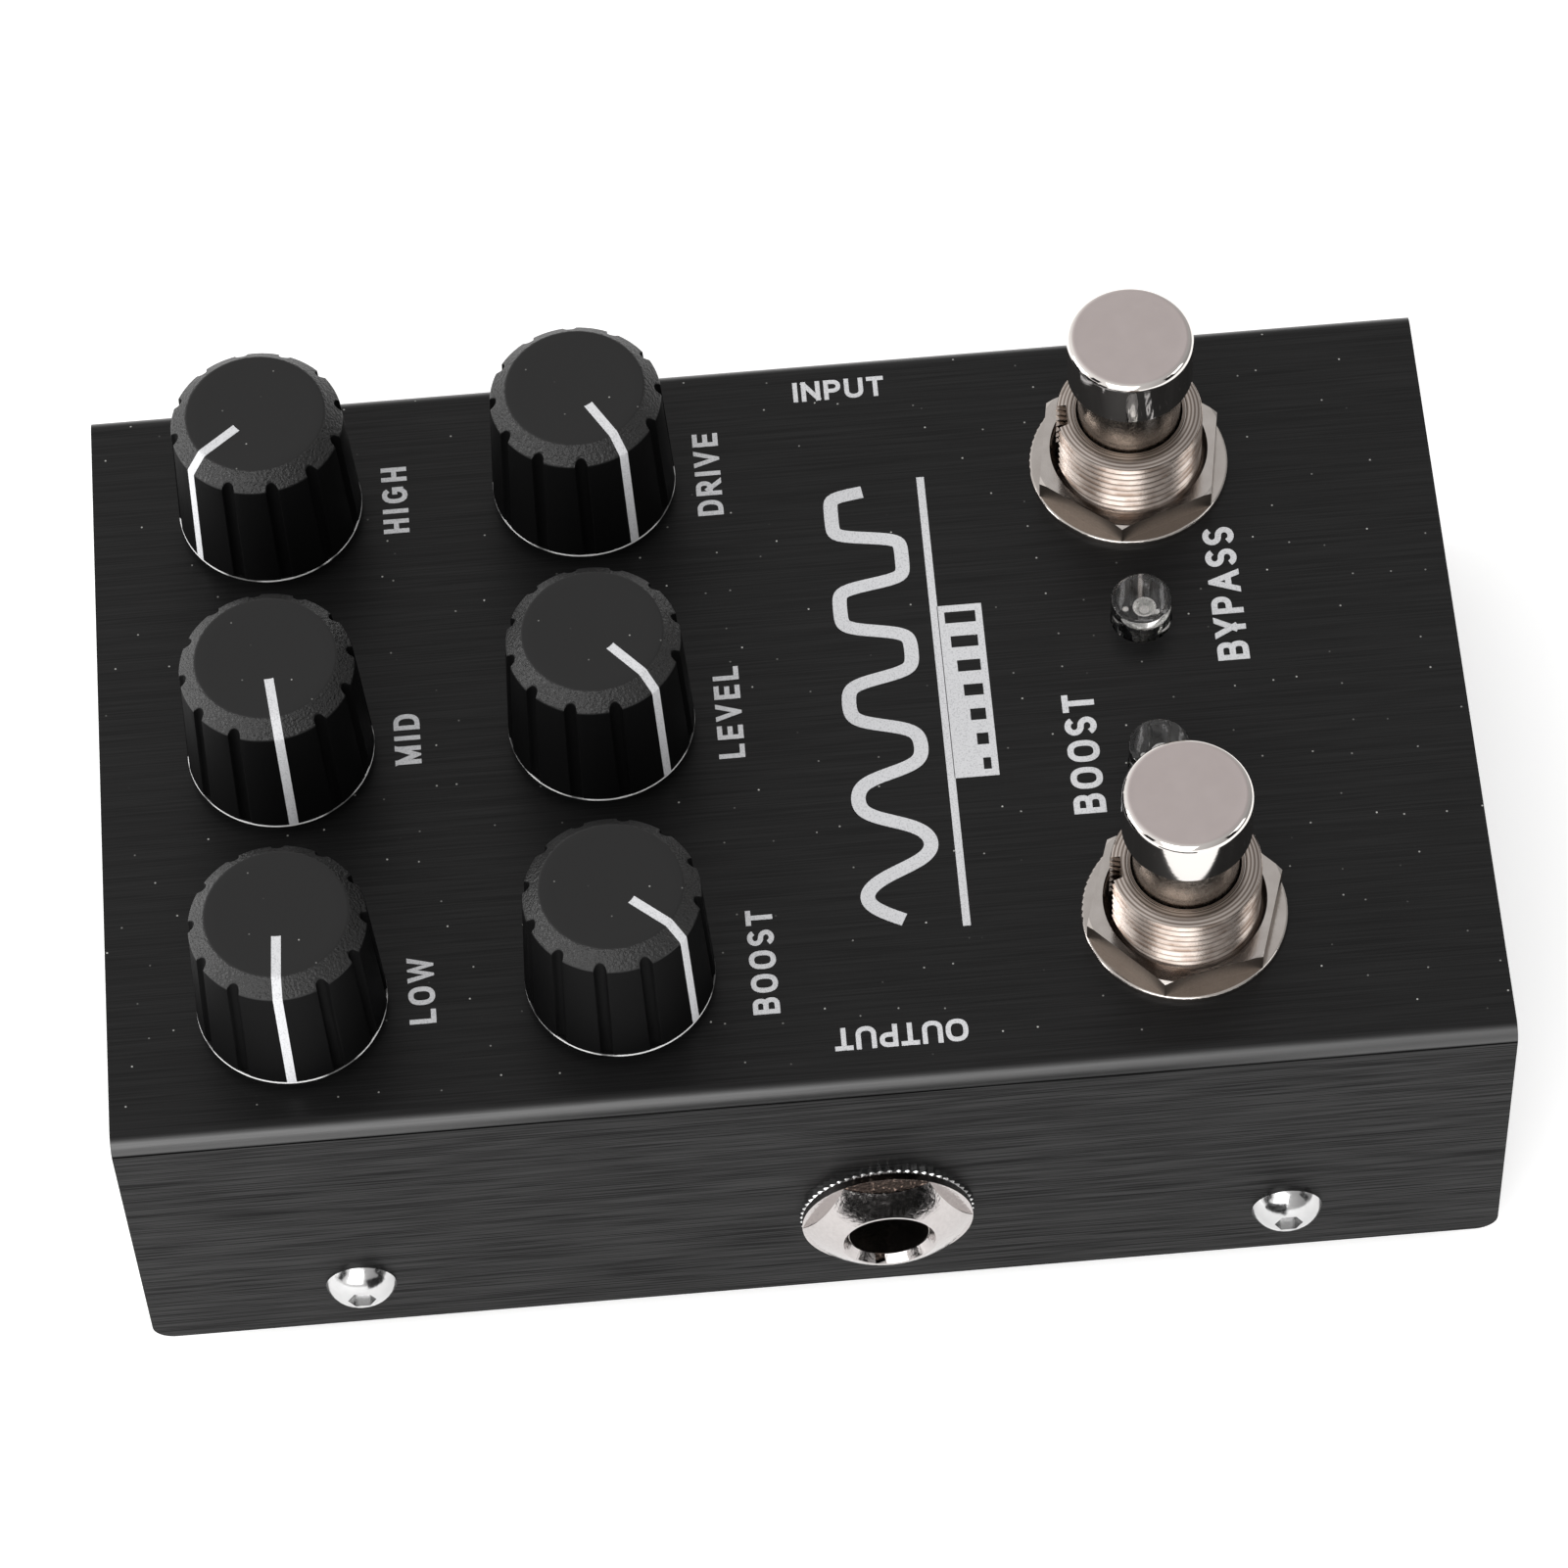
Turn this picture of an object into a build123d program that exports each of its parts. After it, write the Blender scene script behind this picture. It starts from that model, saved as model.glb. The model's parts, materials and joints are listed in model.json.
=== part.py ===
from build123d import *
import math
import os

# Guitar effects pedal: folded two-piece aluminium case, six control knobs on rotary potentiometers,
# two latching footswitches, two indicator lamps, input and output jacks and a power inlet.
#
# Frame, in millimetres: origin on the surface the pedal stands on, under the middle of the case.
# +Z is up, +Y points away from the player, towards the knobs, and +X is the input side.

# ---------------------------------------------------------------- driving dimensions

# Case
CASE_WIDTH = 69.6
CASE_LENGTH = 109.6
CASE_HEIGHT = 31.5
SHEET = 1.2
MOULDED_CORNER = 0.8
FOLD_RADIUS = 1.5
CORNER_RADIUS = 1.8
FIT_GAP = 0.15
FOOT_HEIGHT = 2.0
FOOT_RADIUS = 4.5
FOOT_ROUND = 0.5
FOOT_X = 27.0
FOOT_Y = 47.0

PANEL_TOP = FOOT_HEIGHT + CASE_HEIGHT
PANEL_UNDERSIDE = PANEL_TOP - SHEET
SIDE_OUTSIDE = CASE_WIDTH / 2
SIDE_INSIDE = SIDE_OUTSIDE - SHEET
END_OUTSIDE = CASE_LENGTH / 2 - FIT_GAP
END_INSIDE = END_OUTSIDE - SHEET
FLOOR_TOP = FOOT_HEIGHT + SHEET

# Case screws, M3 button heads into clinch nuts on the tray's tabs
SCREW_Y = 37.4
SCREW_Z = FOOT_HEIGHT + 6.65
SCREW_HEAD_RADIUS = 2.85
SCREW_HEAD_HEIGHT = 1.65
SCREW_RIM_HEIGHT = 0.25
SCREW_CROWN_RADIUS = 1.3
SCREW_DOME_POINT = (1.12, 2.2)
SCREW_SHANK_RADIUS = 1.45
SCREW_LENGTH = 6.0
SOCKET_FLATS = 2.0
SOCKET_DEPTH = 1.0
SCREW_HOLE_RADIUS = 1.65
TAB_WIDTH = 12.0
TAB_HEIGHT = 10.5
CLINCH_SHANK_RADIUS = 2.1
CLINCH_HEAD_RADIUS = 2.4
CLINCH_HEAD_LENGTH = 2.0

# Control grid: name, column, row and the direction of the pointer, in degrees from +X
KNOB_PITCH_X = 23.5
KNOB_ROW_REAR = 40.1
KNOB_ROW_FRONT = 14.4
CONTROLS = {
    "high": (1, KNOB_ROW_REAR, 128.5),
    "mid": (0, KNOB_ROW_REAR, -174.0),
    "low": (-1, KNOB_ROW_REAR, 178.0),
    "drive": (1, KNOB_ROW_FRONT, -149.5),
    "level": (0, KNOB_ROW_FRONT, -138.5),
    "boost": (-1, KNOB_ROW_FRONT, -131.0),
}

# Knob, heights above the panel
KNOB_BASE_RADIUS = 7.5
KNOB_SHOULDER_RADIUS = 6.92
KNOB_FACE_RADIUS = 5.6
KNOB_BASE = 1.2
KNOB_SHOULDER = 13.1
KNOB_FACE = 14.4
KNOB_EDGE = 0.15
KNOB_RIM_HEIGHT = 0.35
FLUTE_COUNT = 12
FLUTE_RADIUS = 0.48
FLUTE_DEPTH = 0.52
KNOB_CAVITY_RADIUS = 6.2
KNOB_CAVITY_TOP = 5.1
KNOB_BORE_TOP = 12.3

# Potentiometer with an M7 bush and a D shaft
POT_WIDTH = 9.8
POT_DEPTH = 11.0
POT_HEIGHT = 6.5
POT_BUSH_RADIUS = 3.45
POT_BUSH_TOP = 4.5
POT_BUSH_SEAT = 2.0
POT_HOLE_RADIUS = 3.6
POT_WASHER_RADIUS = 5.0
POT_WASHER_HEIGHT = 0.5
POT_NUT_FLATS = 10.0
POT_NUT_HEIGHT = 2.0
SHAFT_RADIUS = 3.0
SHAFT_FLAT = 1.5
SHAFT_TOP = 12.0
JOURNAL_RADIUS = 2.5
ROTOR_RADIUS = 4.0
ROTOR_HEIGHT = 1.2
ROTOR_CHAMBER_RADIUS = 4.2
ROTOR_CHAMBER_FLOOR = 1.0
ROTOR_CHAMBER_HEIGHT = 3.0
ROTOR_HEADROOM = 0.4
SHOULDER_GAP = 0.2
PIN_RADIUS = 0.4
PIN_PITCH = 2.5
PIN_ROW = 4.6
BEARING_GAP = 0.05

# Footswitches with an M12 bush, heights above the panel unless they say otherwise
SWITCHES = {"bypass": 21.6, "boost": -21.5}
SWITCH_Y = -30.15
THREAD_RADIUS = 5.95
SWITCH_HOLE_RADIUS = 6.1
BUSH_TOP = 7.8
BUSH_LIP_RADIUS = 5.2
BUSH_LIP_HEIGHT = 0.25
KEYWAY_WIDTH = 2.0
KEYWAY_DEPTH = 0.9
OUTER_WASHER_RADIUS = 8.15
OUTER_WASHER_HEIGHT = 0.6
OUTER_WASHER_ROUND = 0.2
SWITCH_NUT_FLATS = 14.0
OUTER_NUT_HEIGHT = 1.9
NUT_CHAMFER_WIDTH = 0.32
NUT_CHAMFER_DROP = 0.18
COUNTERSINK = 0.45
INNER_NUT_HEIGHT = 1.9
LOCK_WASHER_RADIUS = 8.0
LOCK_WASHER_HEIGHT = 0.6
LOCK_WASHER_TEETH = 16
LOCK_WASHER_NOTCH_DEPTH = 1.4
LOCK_WASHER_NOTCH_WIDTH = 0.8
NUT_TURN = {"bypass": 50.5, "boost": 43.0}
PLUNGER_RADIUS = 4.15
CAP_RADIUS = 5.08
CAP_BOTTOM = 13.05
CAP_TOP = 17.8
CAP_ROUND = 0.5
CAP_LOWER_CHAMFER = 0.15
SWITCH_FRAME_SIZE = 16.6
SWITCH_FRAME_CORNER = 1.0
SWITCH_FRAME_HEIGHT = 1.2
SWITCH_FRAME_TOP_Z = 29.2
SWITCH_BODY_SIZE = 17.2
SWITCH_BODY_HEIGHT = 13.8
SWITCH_CHAMBER_RADIUS = 6.2
SWITCH_CHAMBER_FLOOR = 3.0
COLLAR_RADIUS = 5.6
COLLAR_HEIGHT = 1.5
COLLAR_GAP = 0.1
SPRING_RADIUS = 4.3
SPRING_WIRE = 0.35
SPRING_TURNS = 6
LUG_WIDTH = 2.0
LUG_THICKNESS = 0.8
LUG_LENGTH = 4.6
LUG_PITCH_X = 4.8
LUG_PITCH_Y = 5.3

# Indicator lamps, 5 mm flat-top diodes
LAMPS = {"bypass": 6.6, "boost": -7.4}
LAMP_Y = -29.65
LAMP_HOLE_RADIUS = 2.5
LAMP_RADIUS = 2.42
LAMP_PROUD = 2.7
LAMP_LENGTH = 8.6
LAMP_FLANGE_RADIUS = 2.9
LAMP_FLANGE_HEIGHT = 1.0
LAMP_ROUND = 0.15
LEAD_RADIUS = 0.25
LEAD_SPREAD = 1.27
CUP_RADIUS = 0.95
CUP_FOOT_RADIUS = 0.5
CUP_DEPTH = 2.1
CUP_HEIGHT = 1.1
CUP_WALL = 0.15
CUP_BOWL_RADIUS = 0.4
CUP_BOWL_HEIGHT = 0.45
CUP_STEM = 0.4
CUP_OFFSET = 0.25
LEAD_TAIL = 0.5
LEAD_STEP = 0.2
BRIDGE_HEIGHT = 0.8

# 6.35 mm jacks, one through each side wall, lengths measured outwards from the wall
JACK_Y = -5.15
JACK_Z = FOOT_HEIGHT + 11.5
JACK_HOLE_RADIUS = 4.65
JACK_BUSH_RADIUS = 4.5
JACK_BORE_RADIUS = 3.2
JACK_BUSH_PROUD = 2.2
JACK_BUSH_SEAT = 4.9
JACK_BODY_WIDTH = 15.0
JACK_BODY_HEIGHT = 14.5
JACK_BODY_END = 4.2
JACK_CHAMBER_RADIUS = 3.7
JACK_CHAMBER_END = 6.0
JACK_WASHER_RADIUS = 7.0
JACK_WASHER_HEIGHT = 0.5
JACK_NUT_RADIUS = 6.85
JACK_NUT_FLATS = 11.8
JACK_FLANGE_HEIGHT = 0.55
JACK_NUT_PROUD = 2.9
JACK_LIP_RADIUS = 3.7
JACK_LIP_WIDTH = 0.2
JACK_MOUTH_RADIUS = 3.25
JACK_DOME_RADIUS = 5.5
JACK_DOME_DROP = 0.85
JACK_NOTCH_SIZE = 0.8
JACK_NOTCH_OFFSET = (-0.8, -3.15)
JACK_LEAF_GAP = 0.5
CONTACT_THICKNESS = 0.4
CONTACT_WIDTH = 1.6
CONTACT_SLOT_WIDTH = 2.2
CONTACT_TAB_TOP_Z = 23.0
TIP_CONTACT_X = (9.0, 16.0)
SLEEVE_CONTACT_X = (26.5, 19.5)

# Power inlet under the main board, opening through the rear wall
INLET_Z = 17.4
INLET_WALL_RADIUS = 5.5
INLET_WIDTH = 9.0
INLET_DEPTH = 13.9
INLET_FRONT_GAP = 0.2
INLET_BASE_Z = 12.9
INLET_BORE_RADIUS = 3.15
INLET_BORE_DEPTH = 9.5
INLET_PIN_RADIUS = 1.0
INLET_PIN_TIP_GAP = 1.0
INLET_PIN_ROOT = 2.5
INLET_TERMINAL_SEAT = 1.5
INLET_TAIL = 0.2
INLET_PIN_ROUND = 0.3
INLET_TERMINALS = ((0, 1.2), (0, 7.2), (3.2, 4.2))

# Circuit boards and wiring
BOARD = 1.6
MAIN_BOARD_Z = 23.9
MAIN_BOARD_HALF_WIDTH = 31.0
MAIN_BOARD_FRONT = 4.0
MAIN_BOARD_REAR = 50.5
SWITCH_BOARD_Z = 11.4
SWITCH_BOARD_HALF_WIDTH = 29.8
SWITCH_BOARD_FRONT = -41.0
SWITCH_BOARD_REAR = -15.0
BOARD_CORNER = 1.5
HOLE_GAP = 0.15
SOLDER_TAIL = 0.8
CHIP_LENGTH = 9.8
CHIP_WIDTH = 6.4
CHIP_HEIGHT = 3.3
CHIP_STANDOFF = 0.5
CHIP_LEG_PITCH = 2.54
CHIP_LEG_WIDTH = 0.5
CHIP_LEG_DEPTH = 0.8
CHIP_Y = 28.0
CAPACITOR_RADIUS = 2.5
CAPACITOR_HEIGHT = 7.0
CAPACITOR_ROUND = 0.5
CAPACITOR_PITCH_X = 10.5
CAPACITOR_PITCH_Y = 6.0
CAPACITOR_Y = 17.0
RIBBON_WIDTH = 10.2
RIBBON_THICKNESS = 0.8
RIBBON_FRONT_Y = -17.4
RIBBON_REAR_Y = 5.9
RIBBON_TOP_Z = 30.4
RIBBON_BEND = 1.3
PLUG_LENGTH = 12.5
PLUG_DEPTH = 3.2
FRONT_PLUG_HEIGHT = 4.0
REAR_PLUG_HEIGHT = 2.0
WIRE_RADIUS = 0.65
WIRE_TOP_Z = 28.3
WIRE_PAD_Y = 6.2
WIRE_BENDS = (2.3, 1.25)

# ---------------------------------------------------------------- helpers

UP = (0, 0, 1)


def save(piece, name):
    """Label a finished piece and write it as its own STEP file."""
    piece.part.label = name
    export_step(piece.part, f"parts/{name}.step")


def level(z):
    """Horizontal plane at height z, with its axes along +X and +Y."""
    return Plane.XY.offset(z)


def upright(x, y, z, degrees=0.0):
    """Vertical plane through an upright axis: local X leads away from the axis, local Y is up."""
    turn = math.radians(degrees)
    return Plane(
        origin=(x, y, z),
        x_dir=(math.cos(turn), math.sin(turn), 0),
        z_dir=(math.sin(turn), -math.cos(turn), 0),
    )


def side_plane(side, x, y, z):
    """Plane square to X at distance x from the middle, on side +1 or -1, facing outwards."""
    return Plane(origin=(side * x, y, z), x_dir=(0, side, 0), z_dir=(side, 0, 0))


def knob_position(control):
    """X, Y and pointer direction of a control."""
    column, row, pointer = CONTROLS[control]
    return column * KNOB_PITCH_X, row, pointer


# ---------------------------------------------------------------- case

def build_top_cover():
    """Top plate and both side walls, folded from one sheet, with every panel hole."""
    with BuildPart() as cover:
        with BuildSketch(Plane.XZ):
            with Locations((0, FOOT_HEIGHT)):
                Rectangle(CASE_WIDTH, CASE_HEIGHT, align=(Align.CENTER, Align.MIN))
            fillet(vertices().group_by(Axis.Y)[-1], FOLD_RADIUS)
            with Locations((0, FOOT_HEIGHT)):
                Rectangle(
                    CASE_WIDTH - 2 * SHEET,
                    CASE_HEIGHT - SHEET,
                    align=(Align.CENTER, Align.MIN),
                    mode=Mode.SUBTRACT,
                )
            inner_corners = vertices().filter_by(lambda v: abs(v.Y - PANEL_UNDERSIDE) < 0.01)
            fillet(inner_corners, FOLD_RADIUS - SHEET)
        extrude(amount=CASE_LENGTH / 2, both=True)
        lower_ends = edges().filter_by(Axis.X).group_by(Axis.Z)[0]
        fillet(lower_ends, CORNER_RADIUS)
        with BuildSketch(level(PANEL_TOP)):
            for control in CONTROLS:
                x, y, pointer = knob_position(control)
                with Locations((x, y)):
                    Circle(POT_HOLE_RADIUS)
            for x in SWITCHES.values():
                with Locations((x, SWITCH_Y)):
                    Circle(SWITCH_HOLE_RADIUS)
            for x in LAMPS.values():
                with Locations((x, LAMP_Y)):
                    Circle(LAMP_HOLE_RADIUS)
        extrude(amount=-2 * SHEET, mode=Mode.SUBTRACT)
        with BuildSketch(Plane.YZ):
            with Locations((JACK_Y, JACK_Z)):
                Circle(JACK_HOLE_RADIUS)
            with Locations((-SCREW_Y, SCREW_Z), (SCREW_Y, SCREW_Z)):
                Circle(SCREW_HOLE_RADIUS)
        extrude(amount=CASE_WIDTH, both=True, mode=Mode.SUBTRACT)
    return cover


def build_base_tray():
    """Floor and both end walls, folded from one sheet, with four tabs for the case screws."""
    tray_half = SIDE_INSIDE - FIT_GAP
    wall_top = PANEL_UNDERSIDE - FIT_GAP
    with BuildPart() as tray:
        with BuildSketch(Plane.YZ):
            with Locations((0, FOOT_HEIGHT)):
                Rectangle(2 * END_OUTSIDE, wall_top - FOOT_HEIGHT, align=(Align.CENTER, Align.MIN))
            fillet(vertices().group_by(Axis.Y)[0], CORNER_RADIUS)
            with Locations((0, FLOOR_TOP)):
                Rectangle(
                    2 * END_INSIDE,
                    wall_top - FLOOR_TOP,
                    align=(Align.CENTER, Align.MIN),
                    mode=Mode.SUBTRACT,
                )
            inner_corners = vertices().filter_by(lambda v: abs(v.Y - FLOOR_TOP) < 0.01)
            fillet(inner_corners, CORNER_RADIUS - SHEET)
        extrude(amount=tray_half, both=True)
        with BuildSketch(level(FOOT_HEIGHT)):
            for x in (-tray_half + SHEET / 2, tray_half - SHEET / 2):
                with Locations((x, -SCREW_Y), (x, SCREW_Y)):
                    Rectangle(SHEET, TAB_WIDTH)
        extrude(amount=TAB_HEIGHT)
        with BuildSketch(Plane.YZ):
            with Locations((-SCREW_Y, SCREW_Z), (SCREW_Y, SCREW_Z)):
                Circle(CLINCH_SHANK_RADIUS)
        extrude(amount=CASE_WIDTH, both=True, mode=Mode.SUBTRACT)
        with BuildSketch(Plane.XZ.offset(-END_INSIDE + SHEET)):
            with Locations((0, INLET_Z)):
                Circle(INLET_WALL_RADIUS)
        extrude(amount=-3 * SHEET, mode=Mode.SUBTRACT)
    return tray


def build_case_screws():
    """Four button-head screws with hexagon sockets, two in each side wall."""
    with BuildPart() as screws:
        for side in (-1, 1):
            for y in (-SCREW_Y, SCREW_Y):
                with BuildSketch(side_plane(side, SIDE_OUTSIDE - SCREW_LENGTH, y, SCREW_Z)):
                    Circle(SCREW_SHANK_RADIUS)
                extrude(amount=SCREW_LENGTH)
                seat = (side * SIDE_OUTSIDE, y, SCREW_Z)
                with BuildSketch(Plane(origin=seat, x_dir=(side, 0, 0), z_dir=(0, -1, 0))):
                    with BuildLine():
                        crown = (SCREW_HEAD_HEIGHT, SCREW_CROWN_RADIUS)
                        rim = (SCREW_RIM_HEIGHT, SCREW_HEAD_RADIUS)
                        Line((0, 0), (0, SCREW_HEAD_RADIUS))
                        Line((0, SCREW_HEAD_RADIUS), rim)
                        ThreePointArc(rim, SCREW_DOME_POINT, crown)
                        Line(crown, (SCREW_HEAD_HEIGHT, 0))
                        Line((SCREW_HEAD_HEIGHT, 0), (0, 0))
                    make_face()
                revolve(axis=Axis(seat, (side, 0, 0)))
                with BuildSketch(side_plane(side, SIDE_OUTSIDE + SCREW_HEAD_HEIGHT, y, SCREW_Z)):
                    RegularPolygon(SOCKET_FLATS / 2, 6, major_radius=False)
                extrude(amount=-SOCKET_DEPTH, mode=Mode.SUBTRACT)
    return screws


def build_clinch_nuts():
    """Four flanged nuts pressed into the tray's tabs."""
    tab_inside = SIDE_INSIDE - FIT_GAP - SHEET
    with BuildPart() as nuts:
        for side in (-1, 1):
            for y in (-SCREW_Y, SCREW_Y):
                with BuildSketch(side_plane(side, tab_inside - CLINCH_HEAD_LENGTH, y, SCREW_Z)):
                    Circle(CLINCH_HEAD_RADIUS)
                    Circle(SCREW_SHANK_RADIUS + BEARING_GAP, mode=Mode.SUBTRACT)
                extrude(amount=CLINCH_HEAD_LENGTH)
                with BuildSketch(side_plane(side, tab_inside, y, SCREW_Z)):
                    Circle(CLINCH_SHANK_RADIUS)
                    Circle(SCREW_SHANK_RADIUS + BEARING_GAP, mode=Mode.SUBTRACT)
                extrude(amount=SHEET)
    return nuts


def build_feet():
    """Four rubber feet stuck under the tray, rounded where they meet the ground."""
    with BuildPart() as feet:
        with BuildSketch(level(0)):
            with GridLocations(2 * FOOT_X, 2 * FOOT_Y, 2, 2):
                Circle(FOOT_RADIUS)
        extrude(amount=FOOT_HEIGHT)
        fillet(edges().filter_by(GeomType.CIRCLE).group_by(Axis.Z)[0], FOOT_ROUND)
    return feet


# ---------------------------------------------------------------- controls

def build_knob(control):
    """Tapered knob with a plain rim, a chamfered face and narrow flutes, none of them under the pointer."""
    x, y, pointer = knob_position(control)
    with BuildPart() as knob:
        with BuildSketch(upright(x, y, PANEL_TOP, pointer)):
            with BuildLine():
                Polyline(
                    (0, KNOB_BASE),
                    (KNOB_BASE_RADIUS - KNOB_EDGE, KNOB_BASE),
                    (KNOB_BASE_RADIUS, KNOB_BASE + KNOB_EDGE),
                    (KNOB_SHOULDER_RADIUS, KNOB_SHOULDER),
                    (KNOB_FACE_RADIUS, KNOB_FACE),
                    (0, KNOB_FACE),
                    close=True,
                )
            make_face()
        revolve(axis=Axis((x, y, 0), UP))
        flute_foot = KNOB_BASE + KNOB_RIM_HEIGHT
        lean = (KNOB_BASE_RADIUS - KNOB_SHOULDER_RADIUS) / (KNOB_SHOULDER - KNOB_BASE)
        cutter_base = KNOB_BASE_RADIUS - lean * KNOB_RIM_HEIGHT + FLUTE_RADIUS - FLUTE_DEPTH
        for flute in range(1, FLUTE_COUNT):
            turn = math.radians(pointer + flute * 360 / FLUTE_COUNT)
            outward = Vector(math.cos(turn), math.sin(turn), 0)
            foot = Vector(x, y, PANEL_TOP + flute_foot) + outward * cutter_base
            along = Vector(UP) - outward * lean
            with BuildSketch(Plane(origin=foot, x_dir=(-outward.Y, outward.X, 0), z_dir=along)):
                Circle(FLUTE_RADIUS)
            extrude(amount=KNOB_FACE, mode=Mode.SUBTRACT)
        with BuildSketch(level(PANEL_TOP)):
            with Locations((x, y)):
                Circle(KNOB_CAVITY_RADIUS)
        extrude(amount=KNOB_CAVITY_TOP, mode=Mode.SUBTRACT)
        with BuildSketch(Plane(origin=(x, y, PANEL_TOP), x_dir=upright(x, y, 0, pointer).x_dir, z_dir=UP)):
            Circle(SHAFT_RADIUS + BEARING_GAP)
            with Locations((SHAFT_FLAT + BEARING_GAP + SHAFT_RADIUS, 0)):
                Rectangle(SHAFT_RADIUS * 2, SHAFT_RADIUS * 3, mode=Mode.SUBTRACT)
        extrude(amount=KNOB_BORE_TOP, mode=Mode.SUBTRACT)
    return knob


def build_pot_shaft(control):
    """Control shaft: rotor disc inside the housing, journal in the bush and a D section in the knob."""
    x, y, pointer = knob_position(control)
    chamber_top = PANEL_UNDERSIDE - POT_HEIGHT + ROTOR_CHAMBER_FLOOR + ROTOR_CHAMBER_HEIGHT
    rotor_base = chamber_top - ROTOR_HEADROOM - ROTOR_HEIGHT
    shoulder = PANEL_TOP + POT_BUSH_TOP + SHOULDER_GAP
    with BuildPart() as shaft:
        with BuildSketch(level(rotor_base)):
            with Locations((x, y)):
                Circle(ROTOR_RADIUS)
        extrude(amount=ROTOR_HEIGHT)
        with BuildSketch(level(rotor_base)):
            with Locations((x, y)):
                Circle(JOURNAL_RADIUS)
        extrude(amount=shoulder - rotor_base)
        with BuildSketch(Plane(origin=(x, y, shoulder), x_dir=upright(x, y, 0, pointer).x_dir, z_dir=UP)):
            Circle(SHAFT_RADIUS)
            with Locations((SHAFT_FLAT + SHAFT_RADIUS, 0)):
                Rectangle(SHAFT_RADIUS * 2, SHAFT_RADIUS * 3, mode=Mode.SUBTRACT)
        extrude(amount=PANEL_TOP + SHAFT_TOP - shoulder)
    return shaft


def build_pot_housing(control):
    """Potentiometer housing, hollow round the rotor, with a seat for the bush and pin holes."""
    x, y, pointer = knob_position(control)
    base = PANEL_UNDERSIDE - POT_HEIGHT
    chamber = base + ROTOR_CHAMBER_FLOOR
    with BuildPart() as housing:
        with BuildSketch(level(base)):
            with Locations((x, y)):
                RectangleRounded(POT_WIDTH, POT_DEPTH, MOULDED_CORNER)
        extrude(amount=POT_HEIGHT)
        with BuildSketch(level(chamber)):
            with Locations((x, y)):
                Circle(ROTOR_CHAMBER_RADIUS)
        extrude(amount=ROTOR_CHAMBER_HEIGHT, mode=Mode.SUBTRACT)
        with BuildSketch(level(chamber)):
            with Locations((x, y)):
                Circle(JOURNAL_RADIUS + 2 * BEARING_GAP)
        extrude(amount=POT_HEIGHT, mode=Mode.SUBTRACT)
        with BuildSketch(level(PANEL_UNDERSIDE)):
            with Locations((x, y)):
                Circle(POT_BUSH_RADIUS)
        extrude(amount=-POT_BUSH_SEAT, mode=Mode.SUBTRACT)
        with BuildSketch(level(base)):
            with Locations((x, y - PIN_ROW)):
                with GridLocations(PIN_PITCH, 1, 3, 1):
                    Circle(PIN_RADIUS)
        extrude(amount=ROTOR_CHAMBER_FLOOR / 2, mode=Mode.SUBTRACT)
    return housing


def build_pot_bushes():
    """Threaded bushes of the six potentiometers."""
    with BuildPart() as bushes:
        with BuildSketch(level(PANEL_UNDERSIDE - POT_BUSH_SEAT)):
            for control in CONTROLS:
                x, y, pointer = knob_position(control)
                with Locations((x, y)):
                    Circle(POT_BUSH_RADIUS)
                    Circle(JOURNAL_RADIUS + BEARING_GAP, mode=Mode.SUBTRACT)
        extrude(amount=POT_BUSH_SEAT + SHEET + POT_BUSH_TOP)
    return bushes


def build_pot_washers():
    """Plain washers under the potentiometer nuts."""
    with BuildPart() as washers:
        with BuildSketch(level(PANEL_TOP)):
            for control in CONTROLS:
                x, y, pointer = knob_position(control)
                with Locations((x, y)):
                    Circle(POT_WASHER_RADIUS)
                    Circle(POT_HOLE_RADIUS, mode=Mode.SUBTRACT)
        extrude(amount=POT_WASHER_HEIGHT)
    return washers


def build_pot_nuts():
    """Hexagon nuts that hold the potentiometers to the panel."""
    with BuildPart() as nuts:
        with BuildSketch(level(PANEL_TOP + POT_WASHER_HEIGHT)):
            for control in CONTROLS:
                x, y, pointer = knob_position(control)
                with Locations((x, y)):
                    RegularPolygon(POT_NUT_FLATS / 2, 6, major_radius=False)
                    Circle(POT_BUSH_RADIUS + BEARING_GAP, mode=Mode.SUBTRACT)
        extrude(amount=POT_NUT_HEIGHT)
    return nuts


def build_pot_pins():
    """Three solder pins under each potentiometer, through the main board."""
    pin_bottom = MAIN_BOARD_Z - SOLDER_TAIL
    pin_top = PANEL_UNDERSIDE - POT_HEIGHT + ROTOR_CHAMBER_FLOOR / 2
    with BuildPart() as pins:
        with BuildSketch(level(pin_bottom)):
            for control in CONTROLS:
                x, y, pointer = knob_position(control)
                with Locations((x, y - PIN_ROW)):
                    with GridLocations(PIN_PITCH, 1, 3, 1):
                        Circle(PIN_RADIUS)
        extrude(amount=pin_top - pin_bottom)
    return pins


# ---------------------------------------------------------------- footswitches

SWITCH_BODY_TOP_Z = SWITCH_FRAME_TOP_Z - SWITCH_FRAME_HEIGHT
SWITCH_BODY_BASE_Z = SWITCH_BODY_TOP_Z - SWITCH_BODY_HEIGHT
SWITCH_CHAMBER_Z = SWITCH_BODY_BASE_Z + SWITCH_CHAMBER_FLOOR
COLLAR_TOP_Z = SWITCH_BODY_TOP_Z - COLLAR_GAP


def build_switch_cap(x):
    """Round cap that the foot presses."""
    with BuildPart() as cap:
        with BuildSketch(level(PANEL_TOP + CAP_BOTTOM)):
            with Locations((x, SWITCH_Y)):
                Circle(CAP_RADIUS)
        extrude(amount=CAP_TOP - CAP_BOTTOM)
        fillet(edges().group_by(Axis.Z)[-1], CAP_ROUND)
        chamfer(edges().filter_by(GeomType.CIRCLE).group_by(Axis.Z)[0], CAP_LOWER_CHAMFER)
    return cap


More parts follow.
